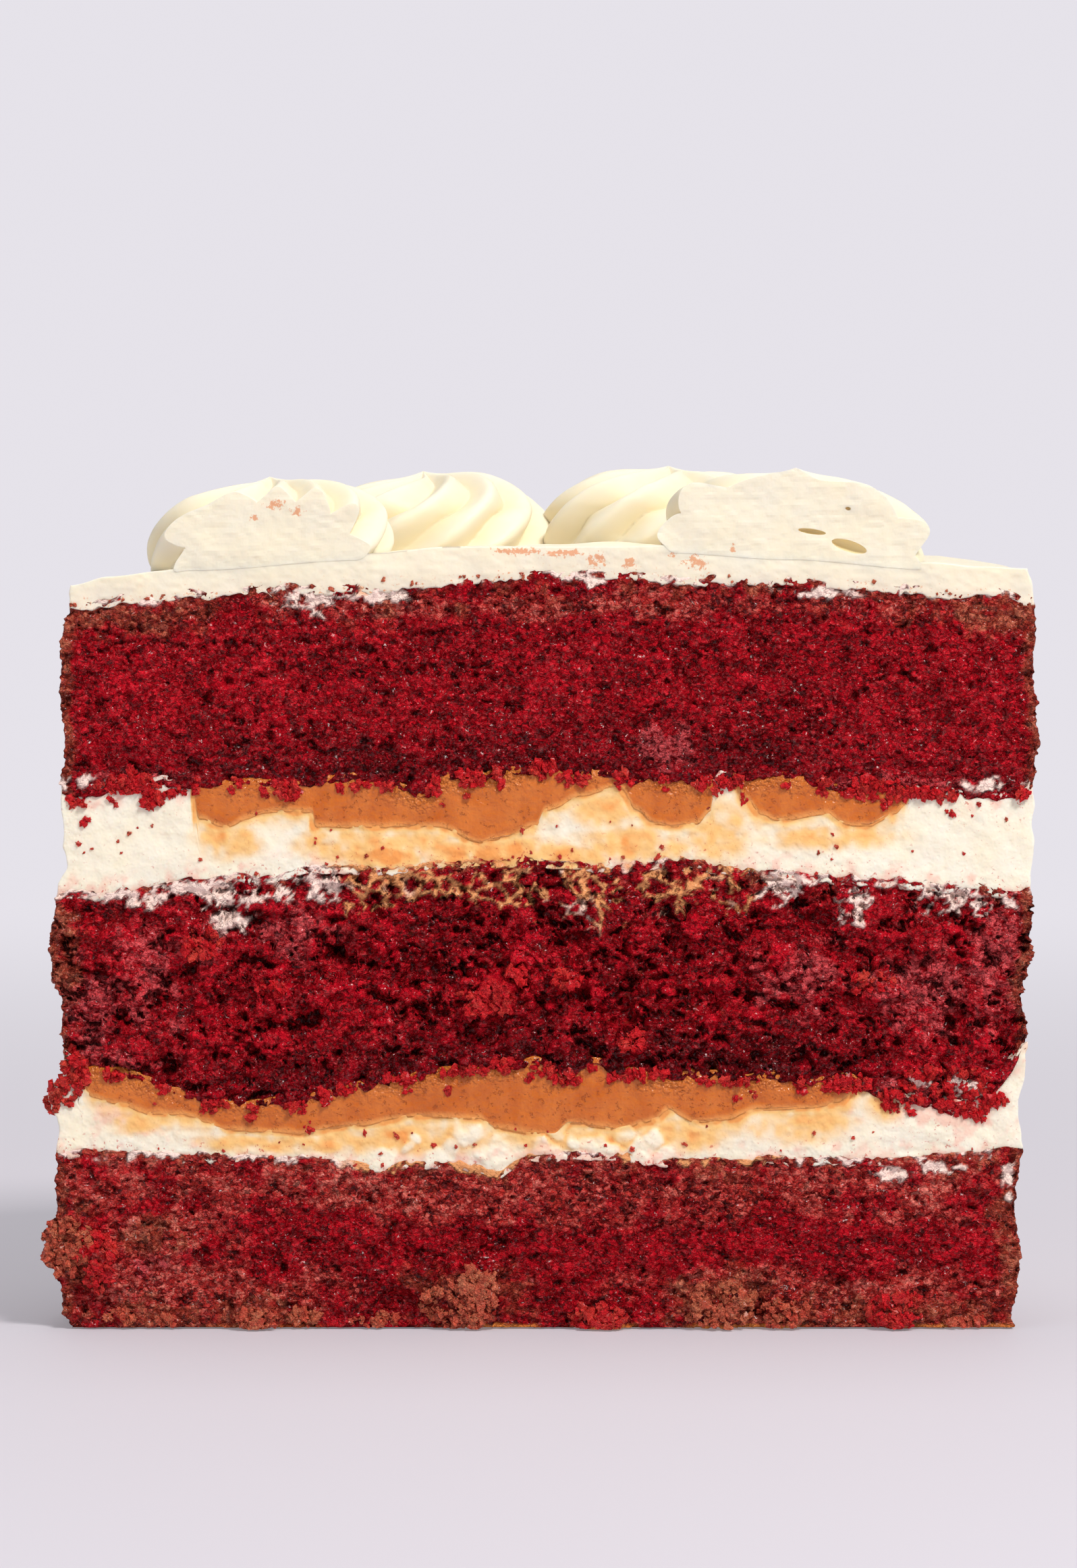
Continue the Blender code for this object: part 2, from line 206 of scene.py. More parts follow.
def settle(points):
    """Brings points from the cake's plan in millimetres to the frame in metres."""
    points = np.array(points, float)
    points[:, 2] = np.maximum(points[:, 2], 0.0)
    return (points + [MIDDLE_X, CUT_Y, 0.0]) * MM


def store(mesh, name, values):
    """Keeps a number for each of a mesh's points under a name."""
    mesh.attributes.new(name, "FLOAT", "POINT").data.foreach_set("value", values)


def closed_mesh(name, grid, fields):
    """A closed skin over a grid of points: rows run from the middle of the base to the middle of the top."""
    rows, columns = grid.shape[:2]
    points = np.vstack([grid.reshape(-1, 3), grid[0].mean(axis=0), grid[-1].mean(axis=0)])
    here = np.arange(rows * columns).reshape(rows, columns)
    after = np.roll(here, -1, axis=1)
    quads = np.stack([here[:-1], after[:-1], after[1:], here[1:]], axis=-1).reshape(-1, 4)
    base = np.stack([after[0], here[0], np.full(columns, rows * columns)], axis=-1)
    top = np.stack([here[-1], after[-1], np.full(columns, rows * columns + 1)], axis=-1)
    corners = np.concatenate([quads.ravel(), base.ravel(), top.ravel()])
    totals = np.concatenate([np.full(len(quads), 4), np.full(2 * columns, 3)])
    mesh = bpy.data.meshes.new(name)
    mesh.vertices.add(len(points))
    mesh.vertices.foreach_set("co", points.ravel())
    mesh.loops.add(len(corners))
    mesh.loops.foreach_set("vertex_index", corners)
    mesh.polygons.add(len(totals))
    mesh.polygons.foreach_set("loop_start", np.concatenate([[0], np.cumsum(totals)[:-1]]))
    mesh.polygons.foreach_set("loop_total", totals)
    mesh.update(calc_edges=True)
    for field_name, values in fields.items():
        store(mesh, field_name, np.append(values.ravel(), [0.0, 0.0]))
    mesh.shade_smooth()
    return mesh


def rings(rows, cap_shares):
    """How far out from the hub each ring of a closed skin lies, and how high from its base to its top."""
    caps = len(cap_shares)
    shares = np.concatenate([cap_shares[::-1], np.ones(rows + 1), cap_shares])
    heights = np.concatenate([np.zeros(caps), np.linspace(0.0, 1.0, rows + 1), np.ones(caps)])
    return shares[:, None], heights[:, None]


def disc_layer(base, top, counts, lumpy, cap_shares):
    """A layer of the half disc, as a grid of points and what is known at each.

    counts gives its rows and its columns, which run along the cut to the right and back round the side.
    cap_shares says how far out from the hub the rings of its underside and top lie.
    """
    rows, front_count, side_count = counts
    a = np.linspace(-1.0, 1.0, front_count + 1)
    angle = np.linspace(0.0, np.pi, side_count + 1)[1:-1]
    x0 = RADIUS * np.concatenate([a, np.cos(angle)])
    y0 = RADIUS * np.concatenate([0.0 * a, np.sin(angle)])
    at_front = np.concatenate([np.ones(len(a)), np.zeros(len(angle))])
    shares, heights = rings(rows, cap_shares)
    x, y = shares * x0, shares * (y0 - HUB_Y) + HUB_Y
    low, high = base(x, y), top(x, y)
    z = low + (high - low) * heights
    left, right = along(LEFT_END, z), along(RIGHT_END, z)
    half = (right - left) / (2.0 * RADIUS)
    skin = (shares > 0.999) * np.ones_like(x)
    front = at_front * skin
    inner = 1.0 - np.abs(x0 / RADIUS) ** 24
    ragged = 0.35 * wobble(x0, z, 5.0, 3.0, 4) + 0.2 * wobble(x0, z, 5.0, 1.1, 6)
    px = (left + right) / 2.0 + half * x + (1.0 - inner) * ragged * np.sign(x0) * skin
    py = half * y
    swell = 0.7 * wobble(x, y, z, 9.0, 3) * (1.0 - at_front) * inner
    px, py = px + swell * x / RADIUS, py + swell * y / RADIUS
    for side, tuft_z, radius, reach in TUFTS:
        near = 1.0 - ((z - tuft_z) / radius) ** 2 - ((1.0 - side * x / RADIUS) * 11.0) ** 2
        px = px + side * reach * smooth(near) * (0.7 + 0.5 * wobble(x, y, z, 1.2, 8)) * skin
    if lumpy:
        py = py - lumps_at(px, z) * front * inner
    fields = {
        "relief": skin * (at_front + 0.4 * (1.0 - at_front)),
        "from_base": z - low,
        "from_top": high - z,
        "from_end": np.minimum(px - left, right - px),
        "side": 1.0 - at_front * np.ones_like(x),
    }
    return np.stack([px, py, z], axis=-1), fields


def feed(tree, node, put):
    """Gives a node's inputs, by name or place, a value or another node's socket."""
    for key, value in put.items():
        if isinstance(value, bpy.types.NodeSocket):
            tree.links.new(value, node.inputs[key])
        else:
            node.inputs[key].default_value = value
    return node


def add(tree, kind, put=None, **settings):
    """Adds a node with the given inputs and settings."""
    node = tree.nodes.new(kind)
    for name, value in settings.items():
        setattr(node, name, value)
    return feed(tree, node, put or {})


def calc(tree, operation, a, b=0.0, c=0.0):
    """A Math node's result."""
    return add(tree, "ShaderNodeMath", {0: a, 1: b, 2: c}, operation=operation).outputs[0]


def vector(tree, operation, a, b):
    """A Vector Math node's result. SCALE takes a number, the others take a second vector."""
    put = {0: a, "Scale" if operation == "SCALE" else 1: b}
    return add(tree, "ShaderNodeVectorMath", put, operation=operation).outputs[0]


def ease(tree, value, low, high, to_low=0.0, to_high=1.0):
    """A smooth step of a value from low to high."""
    put = {"Value": value, "From Min": low, "From Max": high, "To Min": to_low, "To Max": to_high}
    return add(tree, "ShaderNodeMapRange", put, interpolation_type="SMOOTHSTEP").outputs[0]


def noise_at(tree, place, scale, detail=2.0, rough=0.5):
    """A Noise node's outputs."""
    put = {"Vector": place, "Scale": scale, "Detail": detail, "Roughness": rough}
    return add(tree, "ShaderNodeTexNoise", put).outputs


def cells_at(tree, place, scale, feature="F1", **values):
    """A Voronoi node's outputs."""
    put = {"Vector": place, "Scale": scale, **values}
    return add(tree, "ShaderNodeTexVoronoi", put, feature=feature).outputs


def moved_by(tree, place, seed):
    """A place moved by a seed along every axis."""
    apart = add(tree, "ShaderNodeCombineXYZ", {0: seed, 1: seed, 2: seed}).outputs[0]
    return vector(tree, "ADD", place, apart)


def new_tree(name, kind, inputs, outputs):
    """A node group with named inputs, each a number or None for a shape or material, and named outputs."""
    tree = bpy.data.node_groups.new(name, kind)
    for socket_name, default in inputs.items():
        holds = {float: "Float", int: "Int"}.get(type(default), socket_name)
        socket = tree.interface.new_socket(socket_name, in_out="INPUT", socket_type="NodeSocket" + holds)
        if default is not None:
            socket.default_value = default
    for socket_name in outputs:
        holds = "Geometry" if socket_name == "Geometry" else "Float"
        tree.interface.new_socket(socket_name, in_out="OUTPUT", socket_type="NodeSocket" + holds)
    return tree, tree.nodes.new("NodeGroupInput").outputs, tree.nodes.new("NodeGroupOutput").inputs


def end_tree(tree, shape, given, result):
    """Makes a geometry tree's shape real, gives it the material and puts it out."""
    shape = add(tree, "GeometryNodeRealizeInstances", {"Geometry": shape}).outputs[0]
    put = {"Geometry": shape, "Material": given["Material"]}
    tree.links.new(add(tree, "GeometryNodeSetMaterial", put).outputs[0], result["Geometry"])
    return tree


def run_tree(obj, tree, values):
    """Runs a geometry tree on an object with the given inputs and keeps the result as its mesh."""
    modifier = obj.modifiers.new("grow", "NODES")
    modifier.node_group = tree
    names = {item.name: item.identifier for item in tree.interface.items_tree if item.in_out == "INPUT"}
    for name, value in values.items():
        modifier[names[name]] = value
    mesh = bpy.data.meshes.new_from_object(obj.evaluated_get(bpy.context.evaluated_depsgraph_get()))
    obj.modifiers.remove(modifier)
    obj.data = mesh
    return obj


def new_piece(name, mesh):
    """An object at the origin for a mesh."""
    obj = bpy.data.objects.new(name, mesh)
    bpy.context.scene.collection.objects.link(obj)
    return obj


def points_of(mesh):
    """A mesh's points as rows."""
    points = np.empty(len(mesh.vertices) * 3)
    mesh.vertices.foreach_get("co", points)
    return points.reshape(-1, 3)


def keep_in_box(obj):
    """Settles a finished mesh into the frame, inside the box of the solids."""
    low, high = (np.array(corner) for corner in cad_box)
    points = np.clip(settle(points_of(obj.data)), low + BOX_MARGIN, high - BOX_MARGIN)
    points[:, 2] = np.where(points[:, 2] <= 1.1 * BOX_MARGIN, 0.0, points[:, 2])
    obj.data.vertices.foreach_set("co", points.ravel())
    obj.data.update()


def crumb_tree():
    """Torn crumb on a smooth skin: broad tears, granules that hang together and round pores between them."""
    sockets = {"Geometry": None, "Tear": 1.0, "Granule": 0.9, "Pore": 1.5, "Seed": 0.0, "Material": None}
    tree, given, result = new_tree("crumb_relief", "GeometryNodeTree", sockets, ["Geometry"])
    place = moved_by(tree, add(tree, "GeometryNodeInputPosition").outputs[0], given["Seed"])
    place = vector(tree, "MULTIPLY", place, (1.0, 1.0, 1.3))
    drift = vector(tree, "SUBTRACT", noise_at(tree, place, 0.5, 3.0)["Color"], (0.5, 0.5, 0.5))
    warped = vector(tree, "ADD", place, vector(tree, "SCALE", drift, 3.4))
    tear = calc(tree, "SUBTRACT", noise_at(tree, place, 0.13, 4.0, 0.6)["Fac"], 0.5)
    clump = ease(tree, noise_at(tree, warped, 0.17)["Fac"], 0.56, 0.64)
    lump = cells_at(tree, warped, 0.58, "SMOOTH_F1", Smoothness=0.4)["Distance"]
    grain = cells_at(tree, warped, 1.1)["Distance"]
    granules = calc(tree, "MULTIPLY_ADD", lump, -1.25, 0.5)
    granules = calc(tree, "MULTIPLY_ADD", grain, -0.75, calc(tree, "ADD", granules, 0.3))
    narrow = calc(tree, "MULTIPLY_ADD", given["Pore"], 0.04, 0.305)
    hollow = noise_at(tree, warped, 0.33, 3.0, 0.65)["Fac"]
    pore = calc(tree, "SUBTRACT", 1.0, ease(tree, hollow, narrow, calc(tree, "ADD", narrow, 0.08)))
    height = calc(tree, "MULTIPLY", granules, given["Granule"])
    height = calc(tree, "MULTIPLY_ADD", calc(tree, "MULTIPLY", tear, 3.0), given["Tear"], height)
    height = calc(tree, "MULTIPLY_ADD", calc(tree, "MULTIPLY", clump, 0.5), given["Tear"], height)
    height = calc(tree, "SUBTRACT", height, calc(tree, "MULTIPLY", pore, given["Pore"]))
    share, veins = (
        add(tree, "GeometryNodeInputNamedAttribute", {"Name": name}).outputs["Attribute"]
        for name in ("relief", "veins")
    )
    height = calc(tree, "MULTIPLY", height, share)
    net = cells_at(tree, warped, 0.27, "DISTANCE_TO_EDGE")["Distance"]
    from_thread = calc(tree, "SUBTRACT", net, calc(tree, "MULTIPLY_ADD", veins, 0.17, -0.05))
    thread = calc(tree, "SUBTRACT", 1.0, ease(tree, from_thread, 0.0, 0.06))
    out = vector(tree, "SCALE", add(tree, "GeometryNodeInputNormal").outputs[0], height)
    offset = vector(tree, "ADD", out, vector(tree, "SCALE", drift, calc(tree, "MULTIPLY", share, 1.6)))
    shape = given["Geometry"]
    for name, value in (("pore", pore), ("clump", clump), ("rise", height), ("thread", thread)):
        put = {"Geometry": shape, "Name": name, "Value": value}
        shape = add(tree, "GeometryNodeStoreNamedAttribute", put, domain="POINT").outputs[0]
    shape = add(tree, "GeometryNodeSetPosition", {"Geometry": shape, "Offset": offset}).outputs[0]
    return end_tree(tree, shape, given, result)


def grain_noise(tree, given, detail, rough):
    """A noise on the object's own points, of the group's Size and moved by its Seed."""
    place = moved_by(tree, add(tree, "ShaderNodeTexCoord").outputs["Object"], given["Seed"])
    return noise_at(tree, place, calc(tree, "DIVIDE", 1.0 / MM, given["Size"]), detail, rough)["Fac"]


def mottle_group():
    """Soft uneven tone at a given size, between two values."""
    sockets = {"Size": 1.0, "Detail": 3.0, "Low": 0.0, "High": 1.0, "Seed": 0.0}
    tree, given, result = new_tree("mottle", "ShaderNodeTree", sockets, ["Value"])
    put = {"Value": grain_noise(tree, given, given["Detail"], 0.6), "From Min": 0.32, "From Max": 0.68}
    put.update({"To Min": given["Low"], "To Max": given["High"]})
    tree.links.new(add(tree, "ShaderNodeMapRange", put).outputs[0], result["Value"])
    return tree


def ragged_group():
    """A soft field made into a ragged patch, which takes the spots of a noise first where it is strong."""
    sockets = {"Field": 0.0, "Size": 1.0, "Soft": 0.08, "Seed": 0.0}
    tree, given, result = new_tree("ragged_patch", "ShaderNodeTree", sockets, ["Mask"])
    put = {"Value": grain_noise(tree, given, 3.0, 0.7), "From Min": 0.3, "From Max": 0.7}
    spread = add(tree, "ShaderNodeMapRange", put).outputs[0]
    over = calc(tree, "SUBTRACT", calc(tree, "ADD", given["Field"], spread), 1.0)
    mask = ease(tree, over, calc(tree, "MULTIPLY", given["Soft"], -1.0), given["Soft"])
    tree.links.new(calc(tree, "MULTIPLY", mask, ease(tree, given["Field"], 0.0, 0.12)), result["Mask"])
    return tree


def torn_crumb_group():
    """Moist crumb finer than the mesh: granules of their own tone, cracks between them and small pits, and a
    mask of painted shade for the cracks and pits.
    """
    sockets = {"Seed": 0.0, "Grain": 0.85, "Pits": 0.4}
    tree, given, result = new_tree("torn_crumb", "ShaderNodeTree", sockets, ["Tone", "Crack", "Height"])
    place = add(tree, "ShaderNodeTexCoord").outputs["Object"]
    put = {"Vector": place, "Scale": (1.0 / MM, 1.0 / MM, 1.25 / MM)}
    place = moved_by(tree, add(tree, "ShaderNodeMapping", put).outputs[0], given["Seed"])
    drift = vector(tree, "SUBTRACT", noise_at(tree, place, 0.8)["Color"], (0.5, 0.5, 0.5))
    bent = vector(tree, "ADD", place, vector(tree, "SCALE", drift, 1.6))
    scale = calc(tree, "DIVIDE", 1.0, given["Grain"])
    large, small = (cells_at(tree, bent, size) for size in (scale, calc(tree, "MULTIPLY", scale, 1.9)))
    fine = noise_at(tree, place, 2.6, 3.0, 0.7)["Fac"]
    own = add(tree, "ShaderNodeSeparateColor", {0: large["Color"]}).outputs[0]
    bit = add(tree, "ShaderNodeSeparateColor", {0: small["Color"]}).outputs[1]
    tone = calc(tree, "MULTIPLY_ADD", own, 0.42, calc(tree, "MULTIPLY", bit, 0.3))
    tone = calc(tree, "MULTIPLY_ADD", fine, 0.5, calc(tree, "SUBTRACT", tone, 0.11))
    tree.links.new(tone, result["Tone"])
    # Painted shade: the cracks between granules and the pits make a mask for darkening.
    seam = ease(tree, cells_at(tree, bent, scale, "DISTANCE_TO_EDGE")["Distance"], 0.0, 0.16)
    seam = calc(tree, "MULTIPLY", calc(tree, "SUBTRACT", 1.0, seam), 0.55)
    hollow = noise_at(tree, bent, 0.5, 3.0, 0.65)["Fac"]
    pit = ease(tree, hollow, given["Pits"], calc(tree, "ADD", given["Pits"], 0.05))
    pit = calc(tree, "SUBTRACT", 1.0, pit)
    tree.links.new(calc(tree, "MAXIMUM", seam, pit), result["Crack"])
    height = calc(tree, "MULTIPLY_ADD", small["Distance"], -0.8, calc(tree, "MULTIPLY", fine, 0.6))
    height = calc(tree, "MULTIPLY_ADD", large["Distance"], -0.8, height)
    tree.links.new(calc(tree, "SUBTRACT", height, pit), result["Height"])
    return tree


MOTTLE = mottle_group()
RAGGED = ragged_group()
TORN = torn_crumb_group()


def new_material(name):
    """A material, its tree and its Principled shader."""
    material = bpy.data.materials.new(name)
    material.use_nodes = True
    return material, material.node_tree, material.node_tree.nodes["Principled BSDF"]


def group(tree, kind, **put):
    """A use of one of the shared groups, with its values by name."""
    outputs = add(tree, "ShaderNodeGroup", put, node_tree=kind).outputs
    return outputs[0] if len(outputs) == 1 else outputs


def bumped(tree, height, strength, distance):
    """The normal of a surface with fine relief."""
    put = {"Height": height, "Strength": strength, "Distance": distance}
    return add(tree, "ShaderNodeBump", put).outputs[0]


def field(tree, name):
    """A named field of the mesh."""
    return add(tree, "ShaderNodeAttribute", attribute_name=name).outputs["Fac"]


def mix(tree, share, a, b, strength=1.0):
    """A mix of two colours, each a colour or a socket, by a share that a strength may weaken."""
    if strength < 1.0:
        share = calc(tree, "MULTIPLY", share, strength)
    a, b = ((*colour, 1.0) if isinstance(colour, tuple) else colour for colour in (a, b))
    return add(tree, "ShaderNodeMix", {0: share, 6: a, 7: b}, data_type="RGBA").outputs[2]


SPONGE_DARK = (0.085, 0.0008, 0.0022)
SPONGE_RED = (0.41, 0.0024, 0.009)
SPONGE_BRIGHT = (0.9, 0.018, 0.036)
CLUMP_RED = (0.8, 0.006, 0.024)
SPONGE_PALE = (0.96, 0.16, 0.17)
DUSKY_DARK = (0.11, 0.006, 0.006)
DUSKY_RED = (0.62, 0.036, 0.03)
DUSKY_LIGHT = (0.95, 0.29, 0.22)
SPONGE_WET = (0.1, 0.003, 0.006)
CRUST_DARK = (0.12, 0.01, 0.006)
CRUST_BROWN = (0.38, 0.055, 0.03)
CRUST_LIGHT = (0.7, 0.24, 0.13)
SMEAR_CREAM = (0.98, 0.76, 0.67)
SMEAR_CARAMEL = (0.78, 0.35, 0.14)
GLOW_AMBER = (0.85, 0.27, 0.06)
# Painted shade for the pores, cracks and pits:
PORE_SHADE_BLACK = (0.02, 0.0002, 0.0006)
# A painted pink highlight for the granule tops:
PAINTED_SHINE_PINK = (0.92, 0.17, 0.18)


def three_stops(tree, value, stops):
    """A colour ramp through three (place, colour) stops."""
    ramp = tree.nodes.new("ShaderNodeValToRGB")
    tree.links.new(value, ramp.inputs[0])
    ramp.color_ramp.elements.new(0.5)
    for stop, (at, colour) in zip(ramp.color_ramp.elements, stops):
        stop.position = at
        stop.color = (*colour, 1.0)
    return ramp.outputs[0]


def sponge_material():
    """Moist red crumb: granules of their own red, painted shade in hollows and near black in pits and cracks,
    painted pink highlights on granule tops, a browned crust and wet glints.
    """
    material, tree, shader = new_material("red_sponge")
    crumb = group(tree, TORN, Grain=0.95, Pits=0.375)
    # Painted shade and light: the crumb's relief darkens its hollows and lightens its rises in the tone.
    tone = calc(tree, "MULTIPLY_ADD", field(tree, "rise"), 0.16, crumb["Tone"])
    tone = calc(tree, "MULTIPLY_ADD", field(tree, "broad"), 0.2, calc(tree, "SUBTRACT", tone, 0.1))
    wet = calc(tree, "SUBTRACT", 1.0, ease(tree, field(tree, "from_base"), 1.0, 12.0))
    wet = calc(tree, "MULTIPLY", wet, field(tree, "soaked"))
    tone = calc(tree, "MULTIPLY_ADD", wet, -0.16, tone)
    colour = three_stops(tree, tone, ((0.12, SPONGE_DARK), (0.5, SPONGE_RED), (0.95, SPONGE_BRIGHT)))
    colour = mix(tree, wet, colour, SPONGE_WET, 0.35)
    lit = calc(tree, "MULTIPLY", field(tree, "clump"), field(tree, "lively"))
    lit = calc(tree, "MULTIPLY", lit, calc(tree, "MULTIPLY_ADD", wet, -0.3, 0.6))
    colour = mix(tree, lit, colour, CLUMP_RED)
    pale = calc(tree, "MULTIPLY", field(tree, "pale"), ease(tree, crumb["Tone"], 0.3, 0.7))
    colour = mix(tree, pale, colour, SPONGE_PALE, 0.62)
    dusky = three_stops(tree, tone, ((0.2, DUSKY_DARK), (0.48, DUSKY_RED), (0.86, DUSKY_LIGHT)))
    colour = mix(tree, field(tree, "dusky"), colour, dusky, 0.85)
    browned = three_stops(tree, tone, ((0.15, CRUST_DARK), (0.5, CRUST_BROWN), (0.9, CRUST_LIGHT)))
    colour = mix(tree, field(tree, "brown"), colour, browned, 0.85)
    # Painted highlight: the tops of the granules are tinted pink as if catching wet sheen.
    colour = mix(tree, ease(tree, crumb["Height"], -0.36, 0.1, 0.0, 0.42), colour, PAINTED_SHINE_PINK)
    # Painted shade: the pores and the cracks and pits between granules are darkened towards near black.
    hollow = calc(tree, "MAXIMUM", calc(tree, "MULTIPLY", field(tree, "pore"), 0.8), crumb["Crack"])
    colour = mix(tree, hollow, colour, PORE_SHADE_BLACK, 0.7)
    cream = calc(tree, "MAXIMUM", field(tree, "cream"), field(tree, "thread"))
    cream = calc(tree, "MULTIPLY", cream, 0.9)
    colour = mix(tree, cream, colour, mix(tree, field(tree, "tan"), SMEAR_CREAM, SMEAR_CARAMEL))
    colour = mix(tree, field(tree, "amber"), colour, GLOW_AMBER)
    glint = group(tree, MOTTLE, Size=0.55, Detail=2.0, Seed=7.0)
    moist = calc(tree, "MULTIPLY_ADD", wet, 0.3, 0.7)
    rough = calc(tree, "MULTIPLY", crumb["Height"], calc(tree, "MULTIPLY_ADD", cream, -0.8, 1.0))
    rough = calc(tree, "MULTIPLY_ADD", cream, 0.5, rough)
    feed(tree, shader, {
        "Base Color": colour,
        "Roughness": ease(tree, glint, 0.25, 0.8, 0.35, 0.75),
        "Coat Weight": calc(tree, "MULTIPLY", ease(tree, glint, 0.45, 0.85, 0.0, 0.5), moist),
        "Coat Roughness": 0.2,
        "Specular IOR Level": 0.04,
        "Normal": bumped(tree, rough, 1.0, 0.0007),
    })
    return material


# Where the knife or the filling has marked each sponge: (x, height, half width, half height).
CREAM_SMEARS = [
    (-66.0, 70.4, 2.2, 2.0), (-73.0, 71.6, 4.0, 1.0), (-51.0, 67.0, 3.2, 1.3), (-58.0, 72.6, 4.0, 1.2),
    (51.8, 69.5, 1.2, 3.0), (66.0, 71.4, 4.0, 1.3), (76.0, 70.5, 2.0, 1.2), (40.0, 74.0, 6.0, 1.0),
    (-38.0, 120.0, 3.6, 2.2), (-27.0, 121.0, 4.0, 1.2), (8.0, 122.8, 2.0, 1.0), (45.0, 121.4, 5.0, 1.0),
    (76.5, 24.5, 0.9, 2.6), (57.0, 25.5, 2.2, 1.8), (66.0, 26.6, 4.0, 1.0), (-12.0, 26.4, 3.0, 0.9),
    (62.0, 41.6, 2.6, 1.2), (70.0, 40.0, 3.0, 1.4), (74.0, 89.6, 4.0, 1.0), (-76.0, 90.0, 4.0, 1.0),
]
# Where cream and caramel fill the pores, in the same four numbers.
THREADS = [
    (-52.0, 70.6, 6.0, 3.0), (-65.0, 70.6, 4.0, 2.0), (8.0, 71.4, 7.0, 4.2), (-22.0, 73.5, 10.0, 3.0),
    (24.0, 73.0, 11.0, 3.4), (-6.0, 72.5, 8.0, 3.8), (-38.0, 72.5, 8.0, 3.0), (52.0, 70.4, 3.4, 3.4),
    (65.0, 70.0, 6.0, 3.0), (-38.0, 119.8, 5.0, 2.4), (40.0, 73.0, 8.0, 2.4), (-30.0, 73.0, 6.0, 4.0),
]
# Where the crumb is dusky pink-brown, browned by the bake, and pale, in the same four numbers.
DUSKY_PATCHES = [
    (0.0, 24.0, 95.0, 5.0), (-64.0, 16.0, 10.0, 4.0), (-60.0, 6.0, 22.0, 4.0), (50.0, 6.0, 30.0, 3.4),
    (0.0, 119.0, 60.0, 2.0),
]
BROWN_PATCHES = [
    (-13.0, 5.0, 8.5, 5.5), (-47.5, 2.0, 7.0, 4.0), (40.0, 2.8, 9.0, 4.0), (60.0, 1.6, 20.0, 3.0),
    (-62.0, 1.4, 16.0, 3.0), (-79.0, 12.0, 6.0, 8.0), (-64.0, 15.0, 6.0, 3.0), (-70.0, 117.6, 10.0, 3.0),
    (72.0, 118.0, 10.0, 3.0), (30.0, 4.0, 9.0, 5.0), (-79.0, 60.0, 3.0, 12.0), (78.0, 14.0, 4.0, 14.0),
]
PALE_CLUMPS = [
    (-56.5, 63.5, 4.0, 3.0), (54.0, 57.0, 3.6, 2.2), (-70.0, 44.0, 5.0, 2.0), (62.0, 39.5, 5.0, 2.0),
    (-68.0, 90.9, 7.0, 1.0), (57.0, 90.0, 9.0, 1.0), (-64.0, 10.0, 6.0, 3.5), (58.0, 3.6, 4.6, 3.0),
    (-74.0, 10.0, 3.4, 3.4), (20.0, 96.0, 5.0, 3.0), (74.0, 60.0, 5.0, 10.0), (63.0, 55.0, 8.0, 6.0),
    (-66.0, 58.0, 7.0, 7.0), (42.0, 58.0, 6.0, 5.0), (-75.0, 52.0, 5.0, 9.0), (-40.0, 66.0, 6.0, 4.0),
]


# The sponge's grid: rows, columns along the cut and columns round the side.
SPONGE_GRID = (108, 560, 200)


def sponge(name, node, base_line, top_line, tear, granule, pore, seed, soaked, lively, tan, browned):
    """One sponge in place of its solid.

    tear, granule and pore say how rough its crumb is, the last four how wet and bright it is, how much
    caramel is in its smears and how browned it is on top.
    """

    def base(x, y):
        return joint_height(base_line, x, y) - OVERLAP if base_line else 0.0 * x

    def top(x, y):
        return joint_height(top_line, x, y) + OVERLAP

    grid, fields = disc_layer(base, top, SPONGE_GRID, True, np.array([0.99, 0.9, 0.6, 0.2]))
    x, y, z = np.moveaxis(grid, -1, 0)
    front = 1.0 - fields["side"]
    marks = (
        ("cream", CREAM_SMEARS), ("veins", THREADS), ("brown", BROWN_PATCHES), ("pale", PALE_CLUMPS),
        ("dusky", DUSKY_PATCHES),
    )
    for mark, places in marks:
        fields[mark] = spots(places, x, z) * front
    end = np.where(front > 0.5, fields["from_end"], 0.0)
    rim = 1.0 - smooth(fields["from_top"] / 1.8)
    fields["cream"] = patchy(np.maximum(fields["cream"], 0.5 * rim), grid, 1.9, 0.12, 9)
    fields["veins"] = patchy(fields["veins"], grid, 3.4, 0.3, 2)
    fields["veins"] = fields["veins"] * (0.55 + 0.45 * np.exp(-fields["from_top"] / 4.0))
    fields["tan"] = patchy(tan * smooth((42.0 - np.abs(x - 2.0)) / 12.0) * front, grid, 6.0, 0.3, 6)
    fields["dusky"] = patchy(fields["dusky"], grid, 4.0, 0.35, 12)
    fields["pale"] = patchy(fields["pale"], grid, 3.0, 0.25, 30)
    crust = np.maximum(1.0 - smooth((end - 0.2) / 2.6), 0.9 * fields["side"])
    crust = np.maximum(crust, front * browned * np.exp(-fields["from_top"] / 2.4))
    fields["brown"] = patchy(np.maximum(crust, fields["brown"]), grid, 3.0, 0.4, 34)
    to_ends = smooth((np.abs(x) - 38.0) / 24.0)
    fields["broad"] = 0.5 + 0.5 * wobble(x, y, z, 8.0, 40) + 0.25 * wobble(x, y, z, 3.5, 41)
    fields["broad"] = fields["broad"] + 0.4 * lively * to_ends
    fields["soaked"] = soaked * (1.0 - 0.5 * to_ends)
    fields["lively"] = np.full(x.shape, lively)
    foot = (1.0 - smooth((z - 0.3) / 0.4)) * smooth((wobble(x, 0.0, 0.0, 9.0, 51) + 0.45) * 1.6)
    fields["amber"] = front * (base_line is None) * foot * (0.35 + 0.65 * smooth((x + 28.0) / 16.0))
    flush = smooth(fields["from_top"] / 2.6)
    if base_line:
        flush = flush * smooth(fields["from_base"] / 1.8)
    fields["relief"] = fields["relief"] * (0.35 + 0.65 * flush)
    piece = new_piece(name, closed_mesh(name, grid, fields))
    run_tree(piece, CRUMB, {"Tear": tear, "Granule": granule, "Pore": pore, "Seed": seed, "Material": SPONGE})
    keep_in_box(piece)
    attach(piece, "root")
    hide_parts(node)
    return piece


